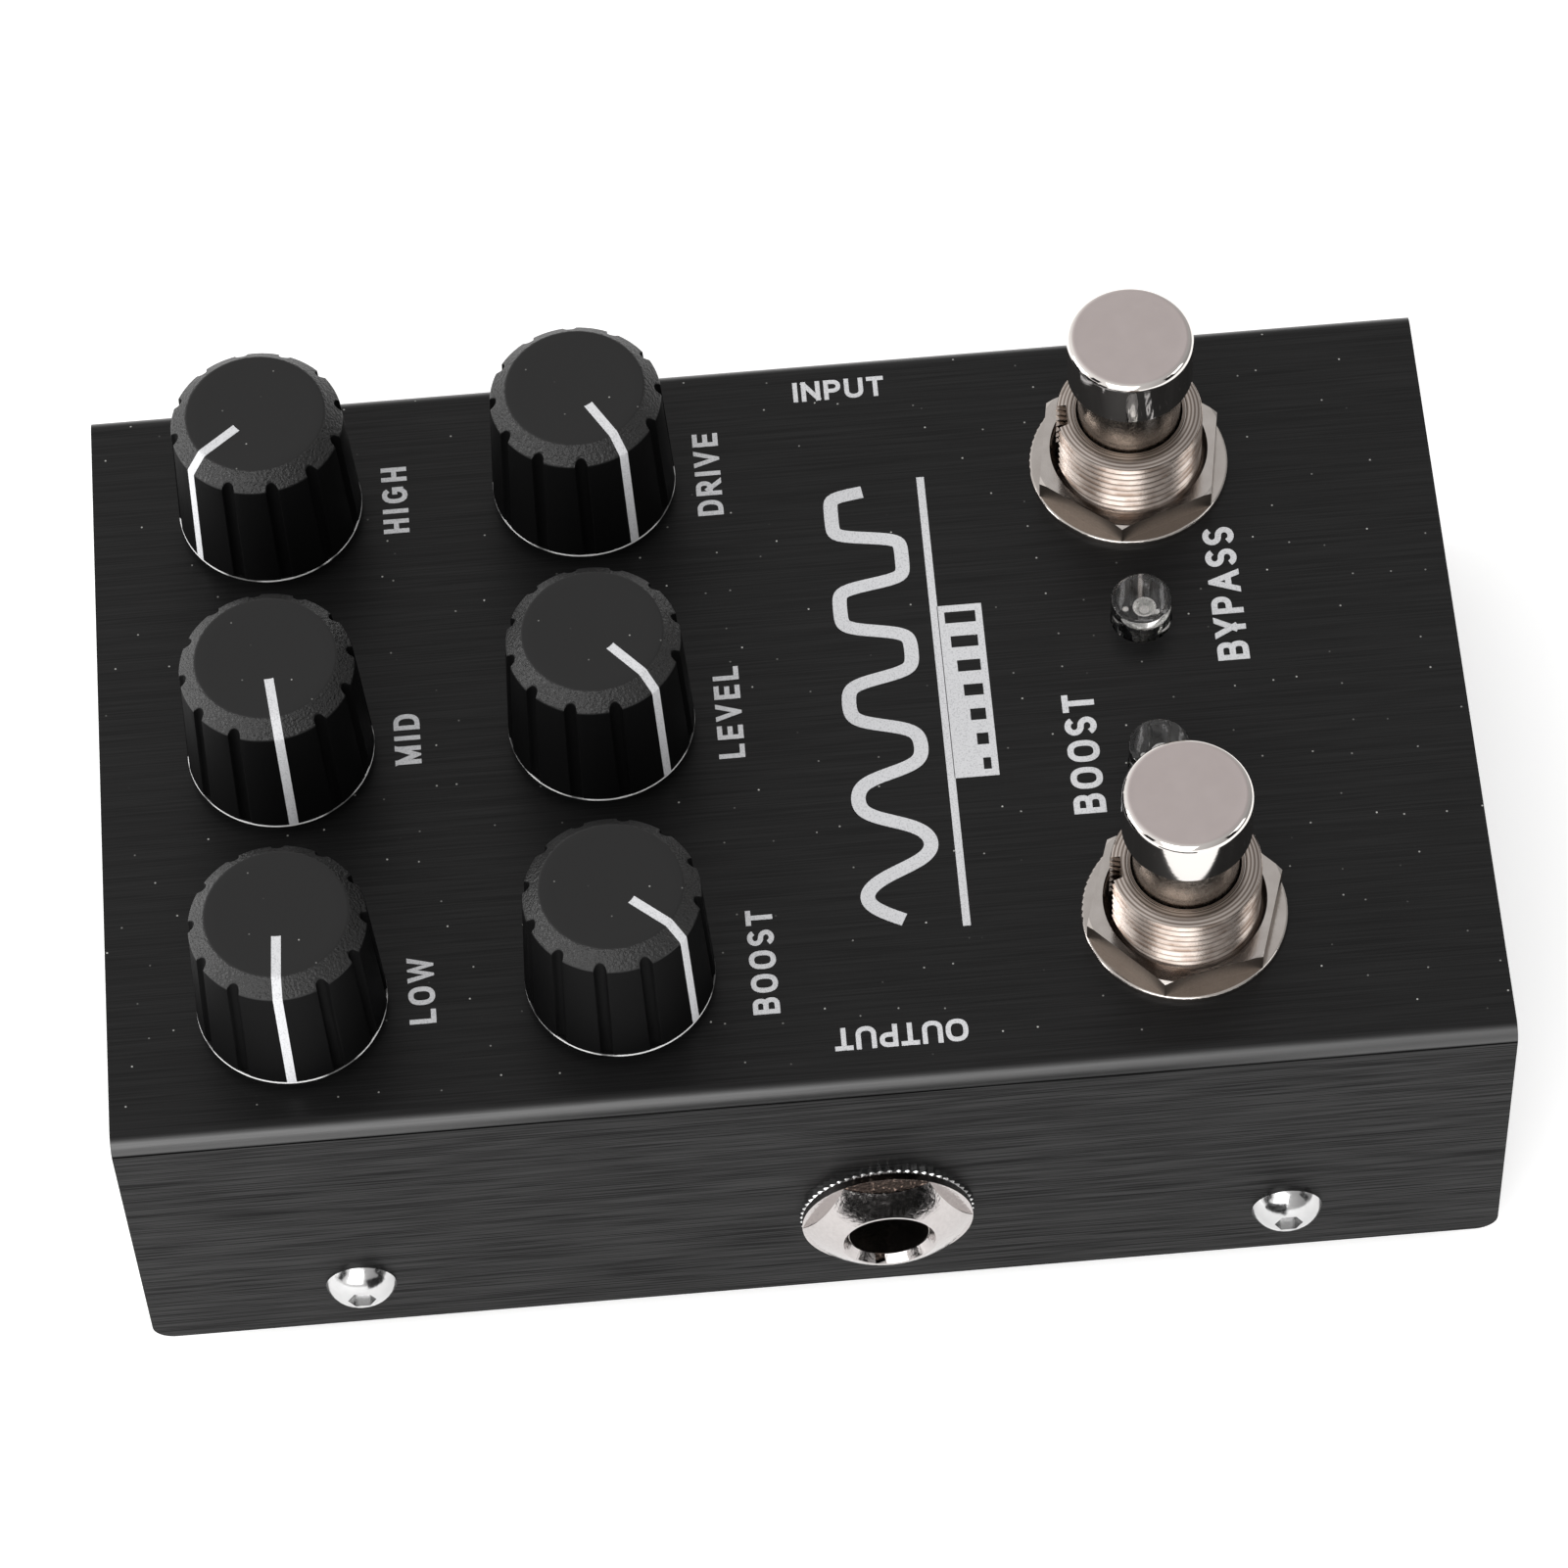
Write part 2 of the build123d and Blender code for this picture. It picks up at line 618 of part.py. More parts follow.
def build_switch_plunger(x):
    """Plunger from the cap down through the bush, with a collar that the spring holds up."""
    collar_base = COLLAR_TOP_Z - COLLAR_HEIGHT
    with BuildPart() as plunger:
        with BuildSketch(level(collar_base)):
            with Locations((x, SWITCH_Y)):
                Circle(COLLAR_RADIUS)
        extrude(amount=COLLAR_HEIGHT)
        with BuildSketch(level(collar_base)):
            with Locations((x, SWITCH_Y)):
                Circle(PLUNGER_RADIUS)
        extrude(amount=PANEL_TOP + CAP_BOTTOM - collar_base)
    return plunger


def build_switch_bush(x):
    """Threaded bush with a keyway, on the square frame that closes the switch body."""
    with BuildPart() as bush:
        with BuildSketch(level(SWITCH_BODY_TOP_Z)):
            with Locations((x, SWITCH_Y)):
                RectangleRounded(SWITCH_FRAME_SIZE, SWITCH_FRAME_SIZE, SWITCH_FRAME_CORNER)
        extrude(amount=SWITCH_FRAME_HEIGHT)
        with BuildSketch(upright(x, SWITCH_Y, PANEL_TOP)):
            with BuildLine():
                foot = SWITCH_FRAME_TOP_Z - PANEL_TOP
                Polyline(
                    (0, foot),
                    (THREAD_RADIUS, foot),
                    (THREAD_RADIUS, BUSH_TOP - BUSH_LIP_HEIGHT),
                    (BUSH_LIP_RADIUS, BUSH_TOP),
                    (0, BUSH_TOP),
                    close=True,
                )
            make_face()
        revolve(axis=Axis((x, SWITCH_Y, 0), UP))
        with BuildSketch(level(SWITCH_FRAME_TOP_Z)):
            with Locations((x, SWITCH_Y + THREAD_RADIUS)):
                Rectangle(KEYWAY_WIDTH, 2 * KEYWAY_DEPTH)
        extrude(amount=CAP_BOTTOM, mode=Mode.SUBTRACT)
        with BuildSketch(level(SWITCH_BODY_TOP_Z)):
            with Locations((x, SWITCH_Y)):
                Circle(PLUNGER_RADIUS + BEARING_GAP)
        extrude(amount=2 * CAP_BOTTOM, mode=Mode.SUBTRACT)
    return bush


def build_switch_body(x):
    """Moulded switch body, hollow round the collar and spring, with sockets for the lugs."""
    with BuildPart() as body:
        with BuildSketch(level(SWITCH_BODY_BASE_Z)):
            with Locations((x, SWITCH_Y)):
                RectangleRounded(SWITCH_BODY_SIZE, SWITCH_BODY_SIZE, MOULDED_CORNER)
        extrude(amount=SWITCH_BODY_HEIGHT)
        with BuildSketch(level(SWITCH_CHAMBER_Z)):
            with Locations((x, SWITCH_Y)):
                Circle(SWITCH_CHAMBER_RADIUS)
        extrude(amount=SWITCH_BODY_HEIGHT, mode=Mode.SUBTRACT)
        with BuildSketch(level(SWITCH_BODY_BASE_Z)):
            with Locations((x, SWITCH_Y)):
                with GridLocations(LUG_PITCH_X, LUG_PITCH_Y, 3, 3):
                    Rectangle(LUG_WIDTH, LUG_THICKNESS)
        extrude(amount=SWITCH_CHAMBER_FLOOR / 2, mode=Mode.SUBTRACT)
    return body


def build_switch_spring(x):
    """Return spring between the floor of the switch body and the plunger's collar."""
    foot_z = SWITCH_CHAMBER_Z + SPRING_WIRE + BEARING_GAP
    height = COLLAR_TOP_Z - COLLAR_HEIGHT - foot_z - SPRING_WIRE - BEARING_GAP
    with BuildPart() as spring:
        with BuildLine() as coil:
            Helix(height / SPRING_TURNS, height, SPRING_RADIUS, center=(x, SWITCH_Y, foot_z))
        with BuildSketch(Plane(origin=coil.line @ 0, z_dir=coil.line % 0)):
            Circle(SPRING_WIRE)
        sweep(is_frenet=True)
    return spring


def build_switch_lugs():
    """Nine solder lugs under each footswitch, through the switch board."""
    with BuildPart() as lugs:
        with BuildSketch(level(SWITCH_BODY_BASE_Z - LUG_LENGTH)):
            for x in SWITCHES.values():
                with Locations((x, SWITCH_Y)):
                    with GridLocations(LUG_PITCH_X, LUG_PITCH_Y, 3, 3):
                        Rectangle(LUG_WIDTH, LUG_THICKNESS)
        extrude(amount=LUG_LENGTH + SWITCH_CHAMBER_FLOOR / 2)
    return lugs


def build_switch_washers():
    """Flat washers on the panel, under the outer nuts."""
    with BuildPart() as washers:
        with BuildSketch(level(PANEL_TOP)):
            with Locations(*[(x, SWITCH_Y) for x in SWITCHES.values()]):
                Circle(OUTER_WASHER_RADIUS)
                Circle(SWITCH_HOLE_RADIUS, mode=Mode.SUBTRACT)
        extrude(amount=OUTER_WASHER_HEIGHT)
        outer_edges = edges().filter_by(GeomType.CIRCLE).group_by(SortBy.RADIUS)[-1]
        fillet(outer_edges.group_by(Axis.Z)[-1], OUTER_WASHER_ROUND)
    return washers


def build_switch_nuts():
    """Outer hexagon nuts, with chamfered corners and a countersunk thread."""
    base = PANEL_TOP + OUTER_WASHER_HEIGHT
    corner = SWITCH_NUT_FLATS / math.sqrt(3)
    with BuildPart() as nuts:
        for name, x in SWITCHES.items():
            with BuildSketch(level(base)):
                with Locations((x, SWITCH_Y)):
                    RegularPolygon(SWITCH_NUT_FLATS / 2, 6, major_radius=False, rotation=NUT_TURN[name])
            extrude(amount=OUTER_NUT_HEIGHT)
        for x in SWITCHES.values():
            with BuildSketch(upright(x, SWITCH_Y, base)):
                with BuildLine():
                    Polyline(
                        (corner + NUT_CHAMFER_WIDTH, OUTER_NUT_HEIGHT + NUT_CHAMFER_DROP),
                        (corner - NUT_CHAMFER_WIDTH, OUTER_NUT_HEIGHT),
                        (corner + NUT_CHAMFER_WIDTH, OUTER_NUT_HEIGHT - 2 * NUT_CHAMFER_DROP),
                        close=True,
                    )
                make_face()
            revolve(axis=Axis((x, SWITCH_Y, 0), UP), mode=Mode.SUBTRACT)
            with BuildSketch(upright(x, SWITCH_Y, base)):
                with BuildLine():
                    bore = THREAD_RADIUS + BEARING_GAP
                    Polyline(
                        (0, -COUNTERSINK),
                        (bore, -COUNTERSINK),
                        (bore, OUTER_NUT_HEIGHT - COUNTERSINK),
                        (bore + 2 * COUNTERSINK, OUTER_NUT_HEIGHT + COUNTERSINK),
                        (0, OUTER_NUT_HEIGHT + COUNTERSINK),
                        close=True,
                    )
                make_face()
            revolve(axis=Axis((x, SWITCH_Y, 0), UP), mode=Mode.SUBTRACT)
    return nuts


def build_inner_nuts():
    """Inner hexagon nuts that set how far each footswitch stands out of the panel."""
    with BuildPart() as nuts:
        with BuildSketch(level(PANEL_UNDERSIDE - LOCK_WASHER_HEIGHT - INNER_NUT_HEIGHT)):
            with Locations(*[(x, SWITCH_Y) for x in SWITCHES.values()]):
                RegularPolygon(SWITCH_NUT_FLATS / 2, 6, major_radius=False)
                Circle(THREAD_RADIUS + BEARING_GAP, mode=Mode.SUBTRACT)
        extrude(amount=INNER_NUT_HEIGHT)
    return nuts


def build_lock_washers():
    """Toothed lock washers between the panel and the inner nuts."""
    with BuildPart() as washers:
        with BuildSketch(level(PANEL_UNDERSIDE - LOCK_WASHER_HEIGHT)):
            with Locations(*[(x, SWITCH_Y) for x in SWITCHES.values()]):
                Circle(LOCK_WASHER_RADIUS)
                Circle(SWITCH_HOLE_RADIUS, mode=Mode.SUBTRACT)
                with PolarLocations(LOCK_WASHER_RADIUS, LOCK_WASHER_TEETH):
                    Rectangle(LOCK_WASHER_NOTCH_DEPTH, LOCK_WASHER_NOTCH_WIDTH, mode=Mode.SUBTRACT)
        extrude(amount=LOCK_WASHER_HEIGHT)
    return washers


# ---------------------------------------------------------------- indicator lamps

def lamp_leads(x):
    """The two leads of a lamp as one compound: a plain post, and a post that carries the cup."""
    foot = SWITCH_BOARD_Z - LEAD_TAIL
    cup_top = PANEL_TOP + LAMP_PROUD - CUP_DEPTH
    cup_foot = cup_top - CUP_HEIGHT
    with BuildPart(mode=Mode.PRIVATE) as leads:
        with BuildSketch(level(foot)):
            with Locations((x, LAMP_Y + LEAD_SPREAD)):
                Circle(LEAD_RADIUS)
        extrude(amount=cup_top - LEAD_STEP - foot)
        with BuildSketch(level(foot)):
            with Locations((x, LAMP_Y - LEAD_SPREAD)):
                Circle(LEAD_RADIUS)
        extrude(amount=cup_foot - BRIDGE_HEIGHT - foot)
        with BuildSketch(level(cup_foot - CUP_STEM - BRIDGE_HEIGHT)):
            with Locations((x, LAMP_Y - LEAD_SPREAD / 2)):
                Rectangle(2 * LEAD_RADIUS, LEAD_SPREAD + 2 * LEAD_RADIUS)
        extrude(amount=BRIDGE_HEIGHT)
        with BuildSketch(upright(x, LAMP_Y - CUP_OFFSET, cup_foot)):
            with BuildLine():
                Polyline(
                    (0, -CUP_STEM),
                    (CUP_FOOT_RADIUS, -CUP_STEM),
                    (CUP_RADIUS, CUP_HEIGHT),
                    (CUP_RADIUS - CUP_WALL, CUP_HEIGHT),
                    (CUP_BOWL_RADIUS, CUP_BOWL_HEIGHT),
                    (0, CUP_BOWL_HEIGHT),
                    close=True,
                )
            make_face()
        revolve(axis=Axis((x, LAMP_Y - CUP_OFFSET, 0), UP))
    return leads


def build_lamp(x):
    """Clear flat-topped lamp with a flange below the panel, moulded round its leads."""
    leads = lamp_leads(x)
    base = PANEL_TOP + LAMP_PROUD - LAMP_LENGTH
    with BuildPart() as lamp:
        with BuildSketch(level(base)):
            with Locations((x, LAMP_Y)):
                Circle(LAMP_FLANGE_RADIUS)
        extrude(amount=LAMP_FLANGE_HEIGHT)
        with BuildSketch(level(base)):
            with Locations((x, LAMP_Y)):
                Circle(LAMP_RADIUS)
        extrude(amount=LAMP_LENGTH)
        fillet(edges().filter_by(GeomType.CIRCLE).group_by(Axis.Z)[-1], LAMP_ROUND)
        add(leads.part, mode=Mode.SUBTRACT)
    return lamp


def build_lamp_leads():
    """Leads of both lamps, down to the switch board."""
    with BuildPart() as leads:
        for x in LAMPS.values():
            add(lamp_leads(x).part)
    return leads


# ---------------------------------------------------------------- jacks and power inlet

def build_jack_body(side):
    """Moulded jack body with a blind chamber for the plug and a slot for its contacts."""
    outer = SIDE_INSIDE - 0.1
    with BuildPart() as body:
        with BuildSketch(side_plane(side, JACK_BODY_END, JACK_Y, JACK_Z)):
            RectangleRounded(JACK_BODY_WIDTH, JACK_BODY_HEIGHT, MOULDED_CORNER)
        extrude(amount=outer - JACK_BODY_END)
        with BuildSketch(side_plane(side, JACK_CHAMBER_END, JACK_Y, JACK_Z)):
            Circle(JACK_CHAMBER_RADIUS)
        extrude(amount=CASE_WIDTH, mode=Mode.SUBTRACT)
        with BuildSketch(side_plane(side, SIDE_INSIDE - JACK_BUSH_SEAT, JACK_Y, JACK_Z)):
            Circle(JACK_BUSH_RADIUS)
        extrude(amount=CASE_WIDTH, mode=Mode.SUBTRACT)
        with BuildSketch(level(JACK_Z)):
            for inner, outer_x in (sorted(TIP_CONTACT_X), sorted(SLEEVE_CONTACT_X)):
                with Locations((side * (inner + outer_x) / 2, JACK_Y)):
                    Rectangle(outer_x - inner + 1.6, CONTACT_SLOT_WIDTH)
        extrude(amount=JACK_BODY_HEIGHT, mode=Mode.SUBTRACT)
    return body


def build_jack_contacts():
    """Tip and sleeve springs of both jacks, each folded up into a solder tab above the body."""
    leaf_z = JACK_Z + JACK_CHAMBER_RADIUS + JACK_LEAF_GAP
    with BuildPart() as contacts:
        for side in (-1, 1):
            strip_plane = Plane(origin=(0, JACK_Y, 0), x_dir=(side, 0, 0), z_dir=(0, -side, 0))
            for tab_x, tip_x in (TIP_CONTACT_X, SLEEVE_CONTACT_X):
                toward_tip = math.copysign(CONTACT_THICKNESS / 2, tip_x - tab_x)
                with BuildSketch(strip_plane):
                    with BuildLine():
                        Polyline(
                            (tab_x - toward_tip, CONTACT_TAB_TOP_Z),
                            (tab_x + toward_tip, CONTACT_TAB_TOP_Z),
                            (tab_x + toward_tip, leaf_z + CONTACT_THICKNESS),
                            (tip_x, leaf_z + CONTACT_THICKNESS),
                            (tip_x, leaf_z),
                            (tab_x - toward_tip, leaf_z),
                            close=True,
                        )
                    make_face()
                extrude(amount=CONTACT_WIDTH / 2, both=True)
    return contacts


def build_jack_bushes():
    """Threaded bushes of the jacks, with the bores that guide the plugs."""
    start = SIDE_INSIDE - JACK_BUSH_SEAT
    with BuildPart() as bushes:
        for side in (-1, 1):
            with BuildSketch(side_plane(side, start, JACK_Y, JACK_Z)):
                Circle(JACK_BUSH_RADIUS)
                Circle(JACK_BORE_RADIUS, mode=Mode.SUBTRACT)
            extrude(amount=SIDE_OUTSIDE + JACK_BUSH_PROUD - start)
    return bushes


def build_jack_washers():
    """Thin washers between the side walls and the jack nuts."""
    with BuildPart() as washers:
        for side in (-1, 1):
            with BuildSketch(side_plane(side, SIDE_OUTSIDE, JACK_Y, JACK_Z)):
                Circle(JACK_WASHER_RADIUS)
                Circle(JACK_HOLE_RADIUS, mode=Mode.SUBTRACT)
            extrude(amount=JACK_WASHER_HEIGHT)
    return washers


def build_jack_nuts():
    """Domed nuts on round flanges: six flats cut into the dome, a flared mouth and a notch in it."""
    foot = SIDE_OUTSIDE + JACK_WASHER_HEIGHT
    flange_top = JACK_FLANGE_HEIGHT
    crown = JACK_NUT_PROUD - JACK_WASHER_HEIGHT
    seat = JACK_BUSH_PROUD - JACK_WASHER_HEIGHT + BEARING_GAP
    with BuildPart() as nuts:
        for side in (-1, 1):
            axis = Axis((side * foot, JACK_Y, JACK_Z), (side, 0, 0))
            profile_plane = Plane(origin=(side * foot, JACK_Y, JACK_Z), x_dir=(side, 0, 0), z_dir=(0, -1, 0))
            with BuildSketch(profile_plane):
                with BuildLine():
                    rim = (flange_top, JACK_NUT_RADIUS)
                    lip = (crown, JACK_LIP_RADIUS + JACK_LIP_WIDTH)
                    Line((0, JACK_BUSH_RADIUS + BEARING_GAP), (0, JACK_NUT_RADIUS))
                    Line((0, JACK_NUT_RADIUS), rim)
                    ThreePointArc(rim, (crown - JACK_DOME_DROP, JACK_DOME_RADIUS), lip)
                    Line(lip, (crown, JACK_LIP_RADIUS))
                    Line((crown, JACK_LIP_RADIUS), (seat, JACK_MOUTH_RADIUS))
                    Line((seat, JACK_MOUTH_RADIUS), (seat, JACK_BUSH_RADIUS + BEARING_GAP))
                    Line((seat, JACK_BUSH_RADIUS + BEARING_GAP), (0, JACK_BUSH_RADIUS + BEARING_GAP))
                make_face()
            revolve(axis=axis)
            with BuildSketch(side_plane(side, foot + flange_top, JACK_Y, JACK_Z)):
                Circle(2 * JACK_NUT_RADIUS)
                RegularPolygon(JACK_NUT_FLATS / 2, 6, major_radius=False, mode=Mode.SUBTRACT)
            extrude(amount=crown, mode=Mode.SUBTRACT)
            with BuildSketch(side_plane(side, foot + seat, JACK_Y, JACK_Z)):
                with Locations(JACK_NOTCH_OFFSET):
                    Rectangle(JACK_NOTCH_SIZE, JACK_NOTCH_SIZE)
            extrude(amount=crown, mode=Mode.SUBTRACT)
    return nuts


def build_inlet_body():
    """Power inlet: moulded block under the main board, with a round socket facing the rear wall."""
    front = END_INSIDE - INLET_FRONT_GAP
    with BuildPart() as body:
        with BuildSketch(level(INLET_BASE_Z)):
            with Locations((0, front - INLET_DEPTH / 2)):
                Rectangle(INLET_WIDTH, INLET_DEPTH)
        extrude(amount=MAIN_BOARD_Z - INLET_BASE_Z)
        with BuildSketch(Plane.XZ.offset(-front)):
            with Locations((0, INLET_Z)):
                Circle(INLET_BORE_RADIUS)
        extrude(amount=INLET_BORE_DEPTH, mode=Mode.SUBTRACT)
        with BuildSketch(Plane.XZ.offset(-front + INLET_BORE_DEPTH)):
            with Locations((0, INLET_Z)):
                Circle(INLET_PIN_RADIUS)
        extrude(amount=INLET_PIN_ROOT, mode=Mode.SUBTRACT)
        with BuildSketch(level(MAIN_BOARD_Z)):
            with Locations(*inlet_terminal_places()):
                Circle(PIN_RADIUS)
        extrude(amount=-INLET_TERMINAL_SEAT, mode=Mode.SUBTRACT)
    return body


def inlet_terminal_places():
    """Where the power inlet's three solder pins go through the main board."""
    front = END_INSIDE - INLET_FRONT_GAP
    return [(x, front - INLET_DEPTH + y) for x, y in INLET_TERMINALS]


def build_inlet_contacts():
    """Centre pin of the power inlet and its three solder pins."""
    front = END_INSIDE - INLET_FRONT_GAP
    with BuildPart() as contacts:
        with BuildSketch(Plane.XZ.offset(-front + INLET_PIN_TIP_GAP)):
            with Locations((0, INLET_Z)):
                Circle(INLET_PIN_RADIUS)
        extrude(amount=INLET_BORE_DEPTH - INLET_PIN_TIP_GAP + INLET_PIN_ROOT)
        fillet(edges().filter_by(GeomType.CIRCLE).group_by(Axis.Y)[-1], INLET_PIN_ROUND)
        with BuildSketch(level(MAIN_BOARD_Z - INLET_TERMINAL_SEAT)):
            with Locations(*inlet_terminal_places()):
                Circle(PIN_RADIUS)
        extrude(amount=INLET_TERMINAL_SEAT + BOARD + INLET_TAIL)
    return contacts


# ---------------------------------------------------------------- boards, parts on them, wiring

def build_main_board():
    """Board under the potentiometers, with holes for their pins and the inlet's."""
    with BuildPart() as board:
        with BuildSketch(level(MAIN_BOARD_Z)):
            with Locations((0, (MAIN_BOARD_FRONT + MAIN_BOARD_REAR) / 2)):
                RectangleRounded(2 * MAIN_BOARD_HALF_WIDTH, MAIN_BOARD_REAR - MAIN_BOARD_FRONT, BOARD_CORNER)
            for control in CONTROLS:
                x, y, pointer = knob_position(control)
                with Locations((x, y - PIN_ROW)):
                    with GridLocations(PIN_PITCH, 1, 3, 1):
                        Circle(PIN_RADIUS + HOLE_GAP, mode=Mode.SUBTRACT)
            with Locations(*inlet_terminal_places()):
                Circle(PIN_RADIUS + HOLE_GAP, mode=Mode.SUBTRACT)
        extrude(amount=BOARD)
    return board


def build_switch_board():
    """Board on the footswitch lugs, with holes for the lamp leads."""
    with BuildPart() as board:
        with BuildSketch(level(SWITCH_BOARD_Z)):
            with Locations((0, (SWITCH_BOARD_FRONT + SWITCH_BOARD_REAR) / 2)):
                RectangleRounded(
                    2 * SWITCH_BOARD_HALF_WIDTH, SWITCH_BOARD_REAR - SWITCH_BOARD_FRONT, BOARD_CORNER
                )
            for x in SWITCHES.values():
                with Locations((x, SWITCH_Y)):
                    with GridLocations(LUG_PITCH_X, LUG_PITCH_Y, 3, 3):
                        Rectangle(LUG_WIDTH + 2 * HOLE_GAP, LUG_THICKNESS + 2 * HOLE_GAP, mode=Mode.SUBTRACT)
            for x in LAMPS.values():
                with Locations((x, LAMP_Y - LEAD_SPREAD), (x, LAMP_Y + LEAD_SPREAD)):
                    Circle(LEAD_RADIUS + HOLE_GAP, mode=Mode.SUBTRACT)
        extrude(amount=BOARD)
    return board


def build_amplifier_chips():
    """Three eight-legged amplifier chips under the main board."""
    chip_top = MAIN_BOARD_Z - CHIP_STANDOFF
    with BuildPart() as chips:
        for x in (-KNOB_PITCH_X, 0, KNOB_PITCH_X):
            with BuildSketch(level(chip_top)):
                with Locations((x, CHIP_Y)):
                    Rectangle(CHIP_LENGTH, CHIP_WIDTH)
            extrude(amount=-CHIP_HEIGHT)
            with BuildSketch(level(MAIN_BOARD_Z)):
                with Locations((x, CHIP_Y)):
                    with GridLocations(CHIP_LEG_PITCH, CHIP_WIDTH + CHIP_LEG_DEPTH, 4, 2):
                        Rectangle(CHIP_LEG_WIDTH, CHIP_LEG_DEPTH)
            extrude(amount=-(CHIP_STANDOFF + CHIP_HEIGHT / 2))
    return chips


def build_capacitors():
    """Six round capacitors under the main board."""
    with BuildPart() as capacitors:
        with BuildSketch(level(MAIN_BOARD_Z)):
            with Locations((0, CAPACITOR_Y)):
                with GridLocations(CAPACITOR_PITCH_X, CAPACITOR_PITCH_Y, 3, 2):
                    Circle(CAPACITOR_RADIUS)
        extrude(amount=-CAPACITOR_HEIGHT)
        fillet(edges().filter_by(GeomType.CIRCLE).group_by(Axis.Z)[0], CAPACITOR_ROUND)
    return capacitors


def build_ribbon():
    """Flat cable over the jacks, from the switch board to the main board."""
    front_start = SWITCH_BOARD_Z + BOARD + FRONT_PLUG_HEIGHT
    rear_end = MAIN_BOARD_Z + BOARD + REAR_PLUG_HEIGHT
    with BuildPart() as ribbon:
        with BuildLine(Plane.YZ) as route:
            FilletPolyline(
                (RIBBON_FRONT_Y, front_start),
                (RIBBON_FRONT_Y, RIBBON_TOP_Z),
                (RIBBON_REAR_Y, RIBBON_TOP_Z),
                (RIBBON_REAR_Y, rear_end),
                radius=RIBBON_BEND,
            )
        with BuildSketch(Plane(origin=(0, RIBBON_FRONT_Y, front_start), x_dir=(1, 0, 0), z_dir=UP)):
            Rectangle(RIBBON_WIDTH, RIBBON_THICKNESS)
        sweep(path=route.line)
    return ribbon


def build_ribbon_plugs():
    """Connectors at the two ends of the flat cable."""
    with BuildPart() as plugs:
        with BuildSketch(level(SWITCH_BOARD_Z + BOARD)):
            with Locations((0, RIBBON_FRONT_Y)):
                Rectangle(PLUG_LENGTH, PLUG_DEPTH)
        extrude(amount=FRONT_PLUG_HEIGHT)
        with BuildSketch(level(MAIN_BOARD_Z + BOARD)):
            with Locations((0, RIBBON_REAR_Y)):
                Rectangle(PLUG_LENGTH, PLUG_DEPTH)
        extrude(amount=REAR_PLUG_HEIGHT)
    return plugs


def build_jack_wires():
    """Four wires from the jack tabs, over the edge of the main board, to its pads."""
    board_top = MAIN_BOARD_Z + BOARD
    with BuildPart() as wires:
        for side in (-1, 1):
            for tab_x, tip_x in (TIP_CONTACT_X, SLEEVE_CONTACT_X):
                x = side * tab_x
                with BuildLine() as route:
                    FilletPolyline(
                        (x, JACK_Y, CONTACT_TAB_TOP_Z),
                        (x, JACK_Y, WIRE_TOP_Z),
                        (x, WIRE_PAD_Y, WIRE_TOP_Z),
                        (x, WIRE_PAD_Y, board_top),
                        radius=WIRE_BENDS,
                    )
                with BuildSketch(level(CONTACT_TAB_TOP_Z)):
                    with Locations((x, JACK_Y)):
                        Circle(WIRE_RADIUS)
                sweep(path=route.line)
    return wires


# ---------------------------------------------------------------- build and write every piece

os.makedirs("parts", exist_ok=True)

save(build_top_cover(), "top_cover")
save(build_base_tray(), "base_tray")
save(build_case_screws(), "case_screws")
save(build_clinch_nuts(), "clinch_nuts")
save(build_feet(), "rubber_feet")

for control_name in CONTROLS:
    save(build_knob(control_name), f"knob_{control_name}")
    save(build_pot_shaft(control_name), f"pot_shaft_{control_name}")
    save(build_pot_housing(control_name), f"pot_housing_{control_name}")
save(build_pot_bushes(), "pot_bushes")
save(build_pot_washers(), "pot_washers")
save(build_pot_nuts(), "pot_nuts")
save(build_pot_pins(), "pot_pins")

for switch_name, switch_x in SWITCHES.items():
    save(build_switch_cap(switch_x), f"switch_cap_{switch_name}")
    save(build_switch_plunger(switch_x), f"switch_plunger_{switch_name}")
    save(build_switch_bush(switch_x), f"switch_bush_{switch_name}")
    save(build_switch_body(switch_x), f"switch_body_{switch_name}")
    save(build_switch_spring(switch_x), f"switch_spring_{switch_name}")
save(build_switch_lugs(), "switch_lugs")
save(build_switch_washers(), "switch_washers")
save(build_switch_nuts(), "switch_nuts")
save(build_inner_nuts(), "switch_inner_nuts")
save(build_lock_washers(), "switch_lock_washers")

for lamp_name, lamp_x in LAMPS.items():
    save(build_lamp(lamp_x), f"lamp_{lamp_name}")
save(build_lamp_leads(), "lamp_leads")

for jack_name, jack_side in (("input", 1), ("output", -1)):
    save(build_jack_body(jack_side), f"jack_body_{jack_name}")
save(build_jack_bushes(), "jack_bushes")
save(build_jack_contacts(), "jack_contacts")
save(build_jack_washers(), "jack_washers")
save(build_jack_nuts(), "jack_nuts")

save(build_inlet_body(), "power_inlet_body")
save(build_inlet_contacts(), "power_inlet_contacts")

save(build_main_board(), "main_board")
save(build_switch_board(), "switch_board")
save(build_amplifier_chips(), "amplifier_chips")
save(build_capacitors(), "capacitors")
save(build_ribbon(), "ribbon_cable")
save(build_ribbon_plugs(), "ribbon_plugs")
save(build_jack_wires(), "jack_wires")
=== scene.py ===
import json
import math

import bmesh
import bpy
from mathutils import Matrix, Vector


